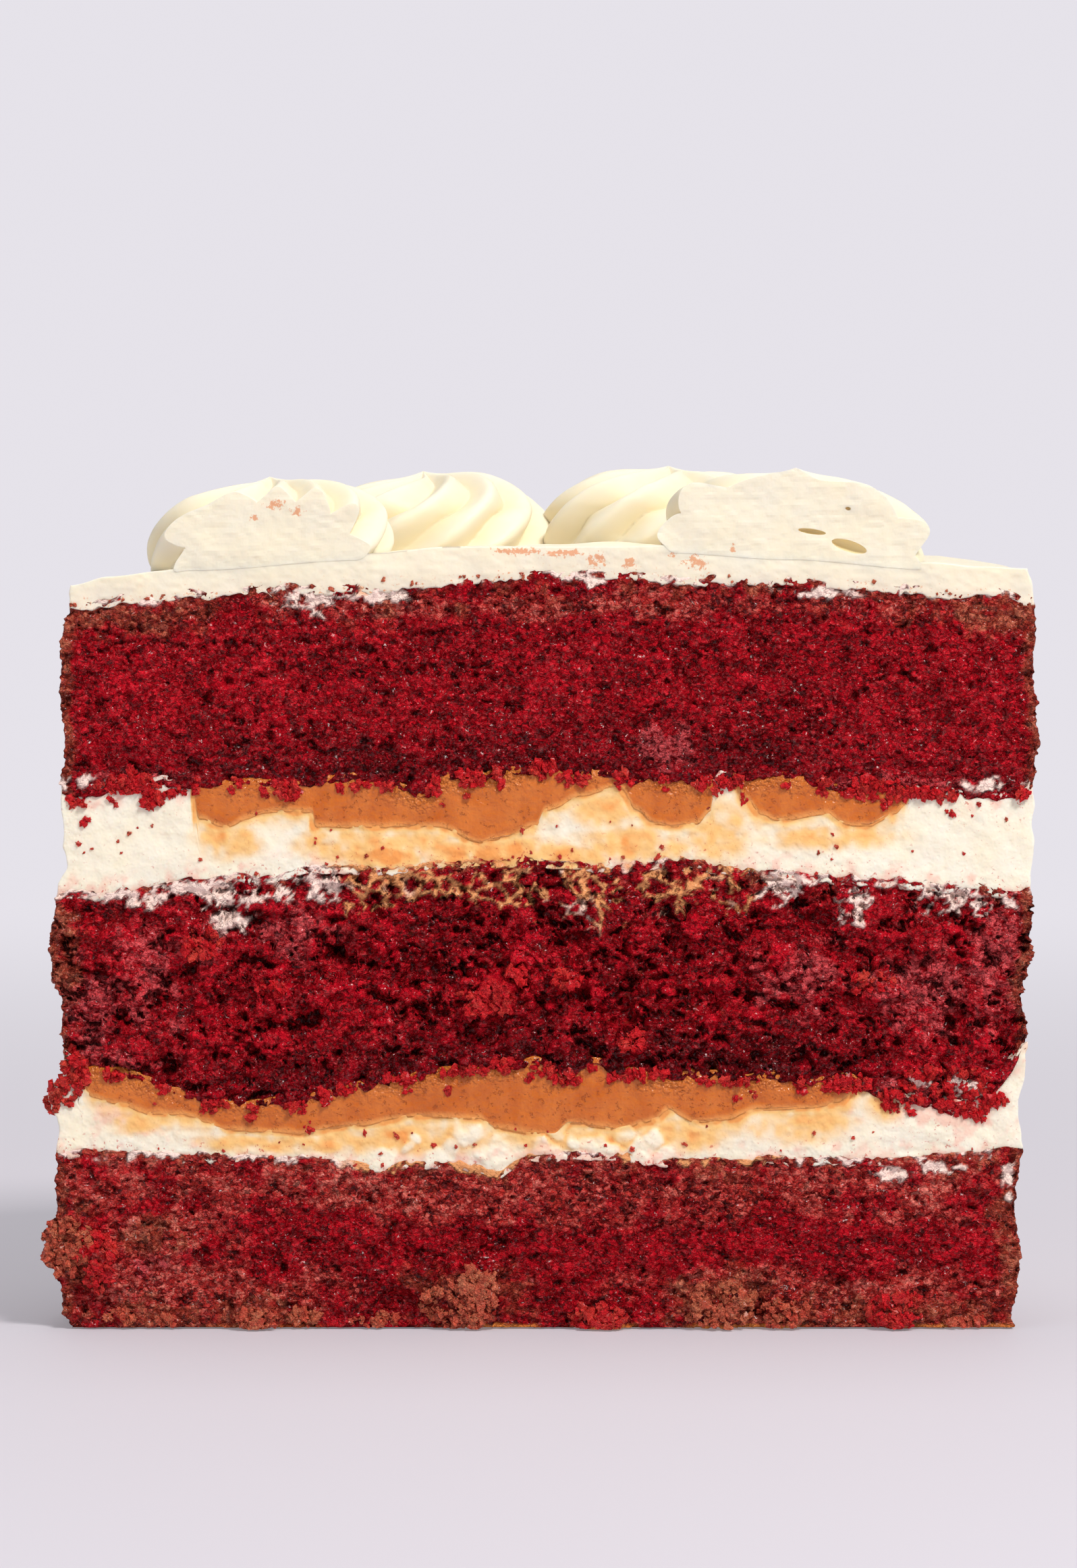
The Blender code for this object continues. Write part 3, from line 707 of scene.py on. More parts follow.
CRUMB = crumb_tree()
SPONGE = sponge_material()
sponge_lower = sponge(
    "sponge_lower_crumb", "sponge_lower", None, LOWER_SPONGE_TOP, tear=0.6, granule=0.7, pore=0.7,
    seed=3.0, soaked=0.2, lively=0.35, tan=0.9, browned=0.55,
)
sponge_middle = sponge(
    "sponge_middle_crumb", "sponge_middle", MIDDLE_SPONGE_BASE, MIDDLE_SPONGE_TOP, tear=1.5,
    granule=1.05, pore=1.5, seed=41.0, soaked=1.0, lively=1.0, tan=1.0, browned=0.2,
)
sponge_top = sponge(
    "sponge_top_crumb", "sponge_top", TOP_SPONGE_BASE, TOP_SPONGE_TOP, tear=0.65, granule=0.75,
    pore=0.8, seed=87.0, soaked=0.8, lively=0.4, tan=0.1, browned=0.85,
)


# The two cream fillings. Soft whipped cream spread between the sponges and cut clean by the knife,
# flush with the side: fine air pits, pink by the sponge and stained yellow by the caramel.
LOWER_CARAMEL = [
    (-76, 40.4), (-74, 38.3), (-69, 36.9), (-64, 35.3), (-58, 35.3), (-55, 34.2), (-52, 32.7), (-39, 32.2),
    (-31, 33.4), (-20, 35.0), (-10, 34.6), (-7, 32.9), (-1, 32.0), (2.6, 31.9), (5, 33.7), (13, 32.8),
    (19, 34.3), (21, 36.1), (26, 34.0), (30, 34.3), (36, 36.1), (45, 36.4), (49, 37.3), (52, 39.7),
    (54, 41.1),
]
UPPER_CARAMEL = [
    (-58, 87.6), (-57.5, 84.2), (-53, 82.7), (-49.6, 84.0), (-47, 85.1), (-38.8, 85.4), (-38.2, 82.7),
    (-18, 82.8), (-11, 80.2), (-7, 81.0), (-2, 83.0), (-0.4, 85.4), (5.6, 87.8), (11, 89.3), (12, 89.3),
    (14.4, 85.7), (17.4, 83.3), (20.3, 82.8), (24.5, 83.3), (26.6, 85.4), (27.4, 90.0),
]
SIDE_CARAMEL = [
    (30.4, 90.4), (32.8, 87.2), (35, 84.8), (37.6, 83.9), (46, 84.8), (49.5, 83.0), (53, 83.0), (57, 84.8),
    (59, 86.6), (60, 89.6),
]
FILLING_DEPTH = 0.72
CREAM_GRID = (36, 640, 250)


def knife_marks(x, z):
    """How the knife left the cut of cream and caramel, in millimetres back from the plane of the cut."""
    return 0.35 + 0.25 * wobble(x, 0.0, z, 4.0, 12) + 0.1 * wobble(x, 0.0, z * 1.6, 1.3, 13)


def caramel_floor(run, above, x, y):
    """The underside of a caramel run, at least 0.6 mm below the joint above it."""
    joint = joint_height(above, x, y)
    w = smooth(y / NEAR_CUT)
    edge = 0.25 * wobble(x, y, 3.0, 1.3, 11)
    return np.minimum((1.0 - w) * (along(run, x) + edge) + w * (joint - 6.0), joint - 0.6)


def over_run(run, x, y):
    """1 where a place in plan lies over a caramel run, else 0."""
    a = np.linspace(run[0][0], run[-1][0], 60) / RADIUS
    back_x = RADIUS * ((1.0 - FILLING_DEPTH) * a + FILLING_DEPTH * np.sin(a * np.pi / 2.0))
    back_y = RADIUS * FILLING_DEPTH * np.cos(a * np.pi / 2.0)
    return ((x > run[0][0]) & (x < run[-1][0]) & (y < np.interp(x, back_x, back_y))) * 1.0


CREAM_WHITE = (0.87, 0.81, 0.68)
CREAM_SHADE = (0.86, 0.76, 0.55)
CREAM_PINK = (0.86, 0.42, 0.33)
CREAM_STAIN = (0.88, 0.52, 0.18)
CREAM_ORANGE = (0.84, 0.33, 0.085)
CRUMB_RED = (0.55, 0.05, 0.03)
SPECK_ORANGE = (0.72, 0.27, 0.1)
# A painted yellow shade for the rosettes' valleys and air holes:
VALLEY_SHADE_YELLOW = (0.84, 0.71, 0.42)


def cream_material(name, white, speck, stained, rough):
    """Whipped cream: soft light inside, fine pits, stains from what it touches, and painted yellow shade in
    rosette valleys and air holes.
    """
    material, tree, shader = new_material(name)
    colour = mix(tree, group(tree, MOTTLE, Size=6.0, Detail=2.0, High=0.5), white, CREAM_SHADE)
    # Painted shade: a yellow shade laid in the rosettes' valleys and inside the air holes of the cut.
    colour = mix(tree, field(tree, "valley_shade"), colour, VALLEY_SHADE_YELLOW, 0.7)
    colour = mix(tree, field(tree, "pink"), colour, CREAM_PINK, 0.55)
    if stained:
        stain = field(tree, "toffee")
        colour = mix(tree, ease(tree, stain, 0.05, 0.7), colour, CREAM_STAIN, 0.95)
        colour = mix(tree, ease(tree, stain, 0.62, 1.05), colour, CREAM_ORANGE, 0.95)
    specks = group(tree, RAGGED, Field=field(tree, "specks"), Size=0.7, Soft=0.12, Seed=8.0)
    colour = mix(tree, specks, colour, speck, 0.75)
    place = add(tree, "ShaderNodeTexCoord").outputs["Object"]
    pit = ease(tree, cells_at(tree, place, 900.0)["Distance"], 0.05, 0.4)
    fine = group(tree, MOTTLE, Size=0.9, Detail=1.0, Seed=3.0)
    height = calc(tree, "MULTIPLY_ADD", pit, 0.25, calc(tree, "MULTIPLY", fine, 0.35))
    height = calc(tree, "MULTIPLY", height, field(tree, "cut"))
    height = calc(tree, "MULTIPLY_ADD", group(tree, MOTTLE, Size=3.0, Detail=1.0, Seed=6.0), 0.5, height)
    feed(tree, shader, {
        "Base Color": colour,
        "Roughness": group(tree, MOTTLE, Size=2.0, Low=0.38, High=0.6),
        "Specular IOR Level": 0.3,
        "Subsurface Weight": 0.35,
        "Subsurface Radius": (0.0022, 0.0017, 0.0012),
        "Subsurface Scale": 1.0,
        "Normal": bumped(tree, height, 0.6 * rough, 0.00025),
    })
    return material


def round_lumps(place, x, z):
    """Soft round lumps of whipped cream scattered in a place (x, height, half width, half height, count)."""
    middle_x, middle_z, wide, high, count = place
    draw = np.random.default_rng(21)
    strength = np.zeros(np.shape(x))
    bent_x, bent_z = x + 1.1 * wobble(x, 0.0, z, 2.2, 60), z + 1.1 * wobble(x, 0.0, z, 2.2, 61)
    for _ in range(count):
        lump_x, lump_z = middle_x + wide * draw.uniform(-1.0, 1.0), middle_z + high * draw.uniform(-1.0, 1.0)
        near = 1.0 - ((bent_x - lump_x) ** 2 + (bent_z - lump_z) ** 2) / draw.uniform(1.2, 2.5) ** 2
        strength = np.maximum(strength, smooth(near) * draw.uniform(0.5, 1.0))
    return strength


def cream(name, node, base_line, top_line, runs, stains, lumps):
    """One cream filling in place of its solid: hollowed under the caramel runs, and lumpy in one place."""

    def base(x, y):
        return joint_height(base_line, x, y) - OVERLAP * 0.6

    def top(x, y):
        height = joint_height(top_line, x, y) + OVERLAP * 0.6
        for run in runs:
            hollow = over_run(run, x, y)
            height = np.where(hollow > 0.5, caramel_floor(run, top_line, x, y) + 0.3, height)
        return height

    caps = np.array([0.99, 0.9, 0.75, 0.6, 0.4, 0.2])
    grid, fields = disc_layer(base, top, CREAM_GRID, False, caps)
    x, z = grid[..., 0], grid[..., 2]
    front = 1.0 - fields["side"]
    lump = round_lumps(lumps, x, z) if lumps else 0.0 * x
    fine = 0.06 * wobble(x, 0.0, z, 0.6, 14)
    grid[..., 1] += fields["relief"] * front * (knife_marks(x, z) + fine - 0.5 * lump)
    floor = joint_height(top_line, x, 0.0 * x) + 20.0
    for run in runs:
        under = caramel_floor(run, top_line, x, 0.0 * x)
        floor = np.where(over_run(run, x, 0.0 * x) > 0.5, under, floor)
    below = np.clip(floor - z, 0.0, 40.0)
    near_caramel = np.maximum(0.85 * np.exp(-below / 2.6), 1.1 * np.exp(-((below / 1.0) ** 2)))
    stain = np.maximum(0.8 * spots(stains, x, z), spots(ORANGE_STAINS, x, z))
    uneven = 0.92 + 0.4 * wobble(x, 0.0, z, 2.6, 44) + 0.25 * wobble(x, 0.0, z, 1.1, 45)
    fields["toffee"] = np.maximum(stain, near_caramel) * front * (1.0 - 0.85 * lump) * uneven
    by_sponge = np.exp(-fields["from_base"] / 1.6) + np.exp(-fields["from_top"] / 1.8) * (floor - z > 6.0)
    pink = np.clip(0.6 * by_sponge + 0.9 * spots(PINK_STAINS, x, z), 0.0, 1.0) * front
    fields["pink"] = patchy(pink, grid, 2.0, 0.4, 48)
    fields["specks"] = np.clip(0.05 + 0.3 * by_sponge, 0.0, 1.0)
    fields["cut"] = front
    fields["valley_shade"] = 0.0 * front
    piece = new_piece(name, closed_mesh(name, grid, fields))
    keep_in_box(piece)
    piece.data.materials.append(FILLING_CREAM)
    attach(piece, "root")
    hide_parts(node)
    return piece


LOWER_STAINS = [
    (-50.0, 30.8, 8.0, 2.0), (-24.0, 31.4, 22.0, 3.0), (22.0, 32.0, 9.0, 3.4), (42.0, 33.5, 10.0, 3.4),
    (4.0, 31.4, 16.0, 2.4), (56.0, 38.0, 4.0, 4.0), (-66.0, 34.0, 6.0, 2.4), (-40.0, 30.4, 14.0, 1.8),
]
UPPER_STAINS = [
    (-8.0, 77.8, 17.0, 3.6), (-20.0, 80.0, 12.0, 2.6), (16.0, 80.0, 11.0, 3.4), (28.0, 82.0, 6.0, 6.0),
    (-32.0, 80.0, 10.0, 3.4), (-52.0, 80.5, 6.0, 3.6), (10.0, 85.5, 6.0, 3.4), (47.0, 81.0, 12.0, 2.4),
]
ORANGE_STAINS = [
    (-9.0, 78.2, 13.0, 3.6), (4.0, 77.6, 7.0, 2.2), (-26.0, 77.8, 8.0, 2.2), (12.0, 31.0, 3.4, 2.2),
]
PINK_STAINS = [
    (64.0, 37.6, 12.0, 3.6), (48.0, 39.4, 5.0, 2.4), (-68.0, 36.0, 5.0, 3.0), (-2.0, 28.6, 10.0, 1.0),
]
# The lumps of cream: (x, height, half width, half height, count).
LOWER_LUMPS = (-4.0, 29.8, 24.0, 2.6, 46)
FILLING_CREAM = cream_material("filling_cream", CREAM_WHITE, CRUMB_RED, True, 1.0)
cream_lower = cream(
    "cream_lower_fill", "cream_lower", LOWER_SPONGE_TOP, MIDDLE_SPONGE_BASE, [LOWER_CARAMEL],
    LOWER_STAINS, LOWER_LUMPS,
)
cream_upper = cream(
    "cream_upper_fill", "cream_upper", MIDDLE_SPONGE_TOP, TOP_SPONGE_BASE, [UPPER_CARAMEL, SIDE_CARAMEL],
    UPPER_STAINS, None,
)


# The caramel: three runs of thick milk caramel spooned on the cream before the next sponge went
# on. The knife dragged it down, so it has upright streaks with red crumbs caught in them.
CARAMEL_BROWN = (0.5, 0.105, 0.009)
CARAMEL_LIGHT = (0.69, 0.2, 0.032)
# Painted shade for the small dents:
CARAMEL_DENT_SHADE = (0.25, 0.04, 0.008)
FRONT_STEP = 0.35
BACK_COUNT = 30


def caramel_material():
    """Glossy milk caramel: faint upright drags of the knife, small dents darkened with painted shade and a
    thin stained lower edge.
    """
    material, tree, shader = new_material("milk_caramel")
    put = {"Vector": add(tree, "ShaderNodeTexCoord").outputs["Object"], "Scale": (1.0, 1.0, 0.22)}
    drag = noise_at(tree, add(tree, "ShaderNodeMapping", put).outputs[0], 420.0, 3.0)["Fac"]
    cloud = group(tree, MOTTLE, Size=5.0, Detail=4.0, Seed=5.0)
    tone = calc(tree, "MULTIPLY_ADD", ease(tree, drag, 0.35, 0.7), 0.3, calc(tree, "MULTIPLY", cloud, 0.45))
    tone = calc(tree, "MULTIPLY_ADD", field(tree, "upper"), 0.2, tone)
    colour = mix(tree, tone, CARAMEL_BROWN, CARAMEL_LIGHT)
    dent = group(tree, RAGGED, Field=0.17, Size=1.0, Soft=0.1, Seed=14.0)
    # Painted shade: the small dents are darkened.
    colour = mix(tree, dent, colour, CARAMEL_DENT_SHADE, 0.4)
    colour = mix(tree, field(tree, "edge"), colour, CREAM_ORANGE)
    crinkle = group(tree, MOTTLE, Size=0.7, Detail=1.0, Seed=15.0)
    crinkle = calc(tree, "MULTIPLY", crinkle, calc(tree, "MULTIPLY_ADD", field(tree, "upper"), 1.8, 0.2))
    height = calc(tree, "MULTIPLY_ADD", drag, 0.35, calc(tree, "MULTIPLY_ADD", dent, -0.35, crinkle))
    feed(tree, shader, {
        "Base Color": colour,
        "Roughness": ease(tree, cloud, 0.2, 0.8, 0.16, 0.32),
        "Specular IOR Level": 0.35,
        "Coat Weight": 0.15,
        "Coat Roughness": 0.1,
        "Subsurface Weight": 0.2,
        "Subsurface Radius": (0.003, 0.0014, 0.0004),
        "Subsurface Scale": 1.0,
        "Normal": bumped(tree, height, 0.8, 0.0005),
    })
    return material


def caramel(name, node, run, joint_line):
    """One run of caramel in place of its solid: along the cut, back through the cake and round again."""
    first, last = run[0][0] / RADIUS, run[-1][0] / RADIUS
    front_count = int((last - first) * RADIUS / FRONT_STEP)
    inward = np.linspace(0.06, 0.66, 6)
    a = np.concatenate([
        np.linspace(first, last, front_count), np.full(6, last),
        np.linspace(last, first, BACK_COUNT), np.full(6, first),
    ])
    v = np.concatenate([
        np.zeros(front_count), inward, np.full(BACK_COUNT, FILLING_DEPTH - 0.006), inward[::-1],
    ])
    shares, heights = rings(26, np.array([0.97, 0.8, 0.5, 0.2]))
    x0 = RADIUS * ((1.0 - v) * a + v * np.sin(a * np.pi / 2.0))
    y0 = RADIUS * v * np.cos(a * np.pi / 2.0)
    middle_x, middle_y = x0.mean(), 26.0
    x, y = middle_x + shares * (x0 - middle_x), middle_y + shares * (y0 - middle_y)
    low = caramel_floor(run, joint_line, x, np.maximum(y, 0.0)) - 0.15
    high = joint_height(joint_line, x, np.maximum(y, 0.0)) + 0.35
    z = low + (high - low) * heights
    front = (v < 0.01) * (shares > 0.999) * np.ones_like(x)
    upper = smooth(1.0 - (high - z) / 4.5) * smooth(wobble(x, 0.0, 0.0, 7.0, 23) + 0.75)
    fat = smooth(np.minimum(heights, 1.0 - heights) * 7.0)
    drags = 0.06 * wobble(x, 0.0, z * 0.25, 1.6, 21) + 0.26 * upper * wobble(x, 0.0, z * 0.6, 1.1, 24)
    y = y + front * (knife_marks(x, z) - 0.02 - 0.14 * fat - fat * drags)
    middle = (along(LEFT_END, z) + along(RIGHT_END, z)) / 2.0
    edge = 0.9 * smooth(1.15 - (z - low) / (1.1 + 0.4 * wobble(x, 0.0, z, 3.0, 25)))
    grid = np.stack([x + middle, y, z], axis=-1)
    piece = new_piece(name, closed_mesh(name, grid, {"edge": edge * front, "upper": upper}))
    keep_in_box(piece)
    piece.data.materials.append(CARAMEL)
    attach(piece, "root")
    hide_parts(node)
    return piece


CARAMEL = caramel_material()
caramel_lower = caramel("caramel_lower_fill", "caramel_lower", LOWER_CARAMEL, MIDDLE_SPONGE_BASE)
caramel_upper = caramel("caramel_upper_fill", "caramel_upper", UPPER_CARAMEL, TOP_SPONGE_BASE)
caramel_side = caramel("caramel_side_fill", "caramel_upper_side", SIDE_CARAMEL, TOP_SPONGE_BASE)


# The top coat. Soft white frosting spread thin over the top sponge with a palette knife, rounded off
# at the side and cut with the cake.
FROSTING_TOP = [
    (-80, 122.4), (-74, 123.9), (-65, 124.9), (-58, 126.0), (-30, 127.7), (-17, 128.7), (13, 128.7),
    (20, 128.9), (40, 127.8), (64, 126.1), (72, 125.4), (80, 125.2),
]
FROSTING_WHITE = (0.8, 0.74, 0.605)
# Each rosette's middle in plan, radius, height and turn in degrees.
ROSETTES = {
    "rosette_right": (41.2, 0.0, 22.6, 12.6, 4.0),
    "rosette_back_right": (21.2, 40.2, 22.0, 13.2, 20.0),
    "rosette_back_left": (-20.6, 40.6, 22.0, 13.0, 5.0),
    "rosette_left": (-45.4, 11.5, 20.6, 12.6, 24.0),
}


def frosting_top(x, y):
    """The top of the frosting: nearly level, a little wavy, rounded off at the side."""
    rim = RADIUS - np.hypot(x, y)
    wave = 0.25 * wobble(x, y * 0.5, 0.0, 7.0, 31)
    return joint_height(FROSTING_TOP, x, y, 0.0) + wave - 1.1 * (1.0 - smooth(rim / 3.0)) * smooth(y / 6.0)


def frosting_base(x, y):
    """The underside of the frosting, a little way into the sponge."""
    return joint_height(TOP_SPONGE_TOP, x, y) - OVERLAP * 0.6


def cut_relief(x, z):
    """The knife's light marks on the cut of the frosting."""
    return 0.25 * wobble(x, 0.0, z, 4.0, 32) + 0.1 * wobble(x, 0.0, z * 1.6, 1.2, 33)


# Orange crumb caught in the frosting: (x, height, half width, half height).
TOP_SPECKS = [
    (-4.0, 128.0, 4.5, 0.7), (3.0, 127.6, 4.0, 0.6), (8.5, 126.6, 1.6, 1.4), (14.0, 126.0, 1.4, 0.9),
    (25.0, 126.2, 2.0, 1.2), (21.0, 127.4, 0.8, 0.5), (31.0, 128.6, 0.6, 0.8), (-44.0, 135.6, 1.8, 1.0),
    (-40.5, 134.4, 1.2, 0.8), (-47.5, 133.4, 0.9, 0.7),
]
FROSTING_GRID = (24, 520, 250)
frosting_caps = np.concatenate([[0.995, 0.985], np.linspace(0.97, 0.05, 26)])
grid, fields = disc_layer(frosting_base, frosting_top, FROSTING_GRID, False, frosting_caps)
x, z = grid[..., 0], grid[..., 2]
front = (1.0 - fields["side"]) * (fields["relief"] > 0.1)
grid[..., 1] += front * cut_relief(x, z)
by_sponge = np.exp(-fields["from_base"] / 1.5) * fields["relief"]
fields["pink"] = np.clip(0.3 * by_sponge, 0.0, 1.0) * front
fields["specks"] = np.clip(0.3 * by_sponge + 0.7 * spots(TOP_SPECKS, x, z) * front, 0.0, 1.0)
fields["cut"] = front
fields["valley_shade"] = 0.0 * front
FROSTING = cream_material("top_frosting", FROSTING_WHITE, SPECK_ORANGE, False, 0.4)
frosting = new_piece("frosting_coat", closed_mesh("frosting_coat", grid, fields))
keep_in_box(frosting)
frosting.data.materials.append(FROSTING)
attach(frosting, "root")
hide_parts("frosting")


# The rosettes: frosting piped from a star nozzle in one turn, so deep ridges climb the side and
# turn in to the middle. The front two were cut through with the cake.
RIDGES = 11
RIDGE_DEPTH = 3.3
CURVE_TOP = 1.1
TWIST = math.radians(85)
# The outline from foot to tip, as shares: (radius, height, ridge depth).
ROSETTE_OUTLINE = [
    (0.0, 0.0, 0.0), (0.5, 0.0, 0.0), (0.9, 0.0, 0.25), (0.98, 0.12, 0.7), (1.0, 0.3, 1.0),
    (0.97, 0.5, 1.0), (0.89, 0.67, 1.0), (0.76, 0.81, 0.9), (0.58, 0.91, 0.75), (0.37, 0.97, 0.55),
    (0.16, 1.0, 0.3), (0.0, 1.06, 0.0),
]
# Air holes in the cut of the right rosette: (x, height, half width, half height, tilt in degrees).
AIR_HOLES = [(50.0, 128.8, 3.0, 0.95, 17.0), (43.9, 131.2, 2.3, 0.45, 8.0), (49.9, 135.0, 0.7, 0.45, 10.0)]


def share_curve(tree, value, column):
    """The outline's radius (0), height (1) or ridge share (2) along the way from its foot to its tip."""
    node = add(tree, "ShaderNodeFloatCurve", {"Value": value})
    curve = node.mapping.curves[0]
    count = len(ROSETTE_OUTLINE) - 1
    curve.points[0].location = (0.0, ROSETTE_OUTLINE[0][column] / CURVE_TOP)
    curve.points[1].location = (1.0, ROSETTE_OUTLINE[-1][column] / CURVE_TOP)
    for k in range(1, count):
        curve.points.new(k / count, ROSETTE_OUTLINE[k][column] / CURVE_TOP)
    node.mapping.update()
    return calc(tree, "MULTIPLY", node.outputs[0], CURVE_TOP)


def rosette_tree():
    """A rosette from its outline: ridges of a star nozzle climb the side and turn in towards the tip."""
    sockets = {
        "Geometry": None, "Radius": 20.0, "Height": 13.0, "Ridges": 11.0, "Ridge Depth": 3.0,
        "Twist": 1.5, "Turn": 0.0, "Seed": 0.0, "Material": None,
    }
    tree, given, result = new_tree("piped_rosette", "GeometryNodeTree", sockets, ["Geometry"])
    put = {"Size X": 1.0, "Size Y": 1.0, "Vertices X": 331, "Vertices Y": 111}
    sheet = add(tree, "GeometryNodeMeshGrid", put).outputs["Mesh"]
    place = add(tree, "ShaderNodeSeparateXYZ", {0: add(tree, "GeometryNodeInputPosition").outputs[0]}).outputs
    angle = calc(tree, "MULTIPLY", calc(tree, "ADD", place[0], 0.5), 2.0 * math.pi)
    way = calc(tree, "ADD", place[1], 0.5)
    share_r, share_z, share_ridge = (share_curve(tree, way, column) for column in range(3))
    count = len(ROSETTE_OUTLINE) - 1
    climb = calc(tree, "DIVIDE", calc(tree, "MULTIPLY_ADD", way, float(count), -2.0), count - 2.0)
    around, across = calc(tree, "COSINE", angle), calc(tree, "SINE", angle)
    spot = add(tree, "ShaderNodeCombineXYZ", {0: around, 1: across, 2: way}).outputs[0]
    put = {"Vector": spot, "W": given["Seed"], "Scale": 1.6}
    unsteady = add(tree, "ShaderNodeTexNoise", put, noise_dimensions="4D").outputs["Fac"]
    unsteady = calc(tree, "SUBTRACT", unsteady, 0.5)
    phase = calc(tree, "MULTIPLY_ADD", climb, calc(tree, "MULTIPLY", given["Twist"], -1.0), angle)
    phase = calc(tree, "SUBTRACT", phase, given["Turn"])
    phase = calc(tree, "MULTIPLY", phase, calc(tree, "MULTIPLY", given["Ridges"], 0.5))
    phase = calc(tree, "MULTIPLY_ADD", unsteady, 1.1, phase)
    lean = calc(tree, "SINE", calc(tree, "MULTIPLY", phase, 2.0))
    phase = calc(tree, "MULTIPLY_ADD", lean, 0.28, phase)
    crest = calc(tree, "POWER", calc(tree, "ABSOLUTE", calc(tree, "COSINE", phase)), 0.7)
    cut = calc(tree, "MULTIPLY", calc(tree, "SUBTRACT", 1.0, crest), given["Ridge Depth"])
    cut = calc(tree, "MULTIPLY", cut, share_ridge)
    from_side = calc(tree, "SUBTRACT", 1.0, ease(tree, share_z, 0.5, 1.0))
    radius = calc(tree, "MULTIPLY", share_r, calc(tree, "MULTIPLY_ADD", unsteady, 1.6, given["Radius"]))
    radius = calc(tree, "SUBTRACT", radius, calc(tree, "MULTIPLY", cut, from_side))
    radius = calc(tree, "MAXIMUM", radius, 0.0)
    height = calc(tree, "MULTIPLY", share_z, given["Height"])
    height = calc(tree, "SUBTRACT", height, calc(tree, "MULTIPLY", cut, ease(tree, share_z, 0.35, 0.85)))
    put = {0: calc(tree, "MULTIPLY", around, radius), 1: calc(tree, "MULTIPLY", across, radius), 2: height}
    target = add(tree, "ShaderNodeCombineXYZ", put).outputs[0]
    # Painted shade: how deep each point lies in a ridge's valley, kept for the cream's painted valley shade.
    put = {"Geometry": sheet, "Name": "valley_shade", "Value": calc(tree, "DIVIDE", cut, given["Ridge Depth"])}
    shape = add(tree, "GeometryNodeStoreNamedAttribute", put, domain="POINT").outputs[0]
    shape = add(tree, "GeometryNodeSetPosition", {"Geometry": shape, "Position": target}).outputs[0]
    shape = add(tree, "GeometryNodeMergeByDistance", {"Geometry": shape, "Distance": 0.002}).outputs[0]
    shape = add(tree, "GeometryNodeSetShadeSmooth", {"Geometry": shape}).outputs[0]
    return end_tree(tree, shape, given, result)


# How far the rosettes stand out of the frosting's cut, and how deep their feet sink into it.
PROUD = 0.06
SUNK = 1.2


def piece_of(name, bm):
    """An object at the origin for a finished bmesh, which is freed."""
    mesh = bpy.data.meshes.new(name)
    bm.to_mesh(mesh)
    bm.free()
    return new_piece(name, mesh)


def knife_block(centre_x):
    """What the knife took away: a block before the cut, with the marks of the cut on its far face."""
    half_width, middle_z, half_height, near_y = 32.0, 131.0, 12.5, -60.0
    bm = bmesh.new()
    bmesh.ops.create_grid(bm, x_segments=150, y_segments=60, size=1.0)
    for vert in bm.verts:
        x, z = centre_x + half_width * vert.co.x, middle_z + half_height * vert.co.y
        vert.co = Vector((x, float(cut_relief(x, z)) - PROUD, z))
    front = bmesh.ops.extrude_face_region(bm, geom=bm.faces[:])
    moved = [item for item in front["geom"] if isinstance(item, bmesh.types.BMVert)]
    for vert in moved:
        vert.co.y = near_y
    bmesh.ops.recalc_face_normals(bm, faces=bm.faces[:])
    return piece_of("knife_block", bm)


def air_holes():
    """Flat bubbles in the frosting, opened by the cut."""
    bm = bmesh.new()
    for hole_x, hole_z, wide, high, tilt in AIR_HOLES:
        new = bmesh.ops.create_icosphere(bm, subdivisions=4, radius=1.0)["verts"]
        turn = math.radians(-tilt)
        for vert in new:
            x, y, z = vert.co.x * wide, vert.co.y * wide * 0.5, vert.co.z * high
            vert.co = Vector((
                hole_x + x * math.cos(turn) - z * math.sin(turn), 0.2 + y,
                hole_z + x * math.sin(turn) + z * math.cos(turn),
            ))
    return piece_of("air_holes", bm)


def take_away(obj, cutter):
    """Cuts a solid out of another and removes the cutter."""
    modifier = obj.modifiers.new("cut", "BOOLEAN")
    modifier.operation = "DIFFERENCE"
    modifier.solver = "EXACT"
    modifier.object = cutter
    obj.data = bpy.data.meshes.new_from_object(obj.evaluated_get(bpy.context.evaluated_depsgraph_get()))
    obj.modifiers.remove(modifier)
    bpy.data.objects.remove(cutter)


# How softly a rosette flattens at its neighbour, and how far it is pressed into it.
SQUASH = 1.2
PRESSED = 1.5
# How near the plane of the cut a point counts as on it.
ON_CUT = 0.05


def squash(points, x, y, radius):
    """Presses a rosette's side flatter where the rosette meets its neighbours."""
    for next_x, next_y, next_radius, _, _ in ROSETTES.values():
        apart = math.hypot(next_x - x, next_y - y)
        if 0.0 < apart < radius + next_radius:
            towards = np.array([next_x - x, next_y - y]) / apart
            limit = apart * radius / (radius + next_radius) + PRESSED
            over = np.maximum((points[:, :2] - [x, y]) @ towards - (limit - SQUASH), 0.0)
            points[:, :2] += np.outer(SQUASH - over - SQUASH * np.exp(-over / SQUASH), towards)
    return points


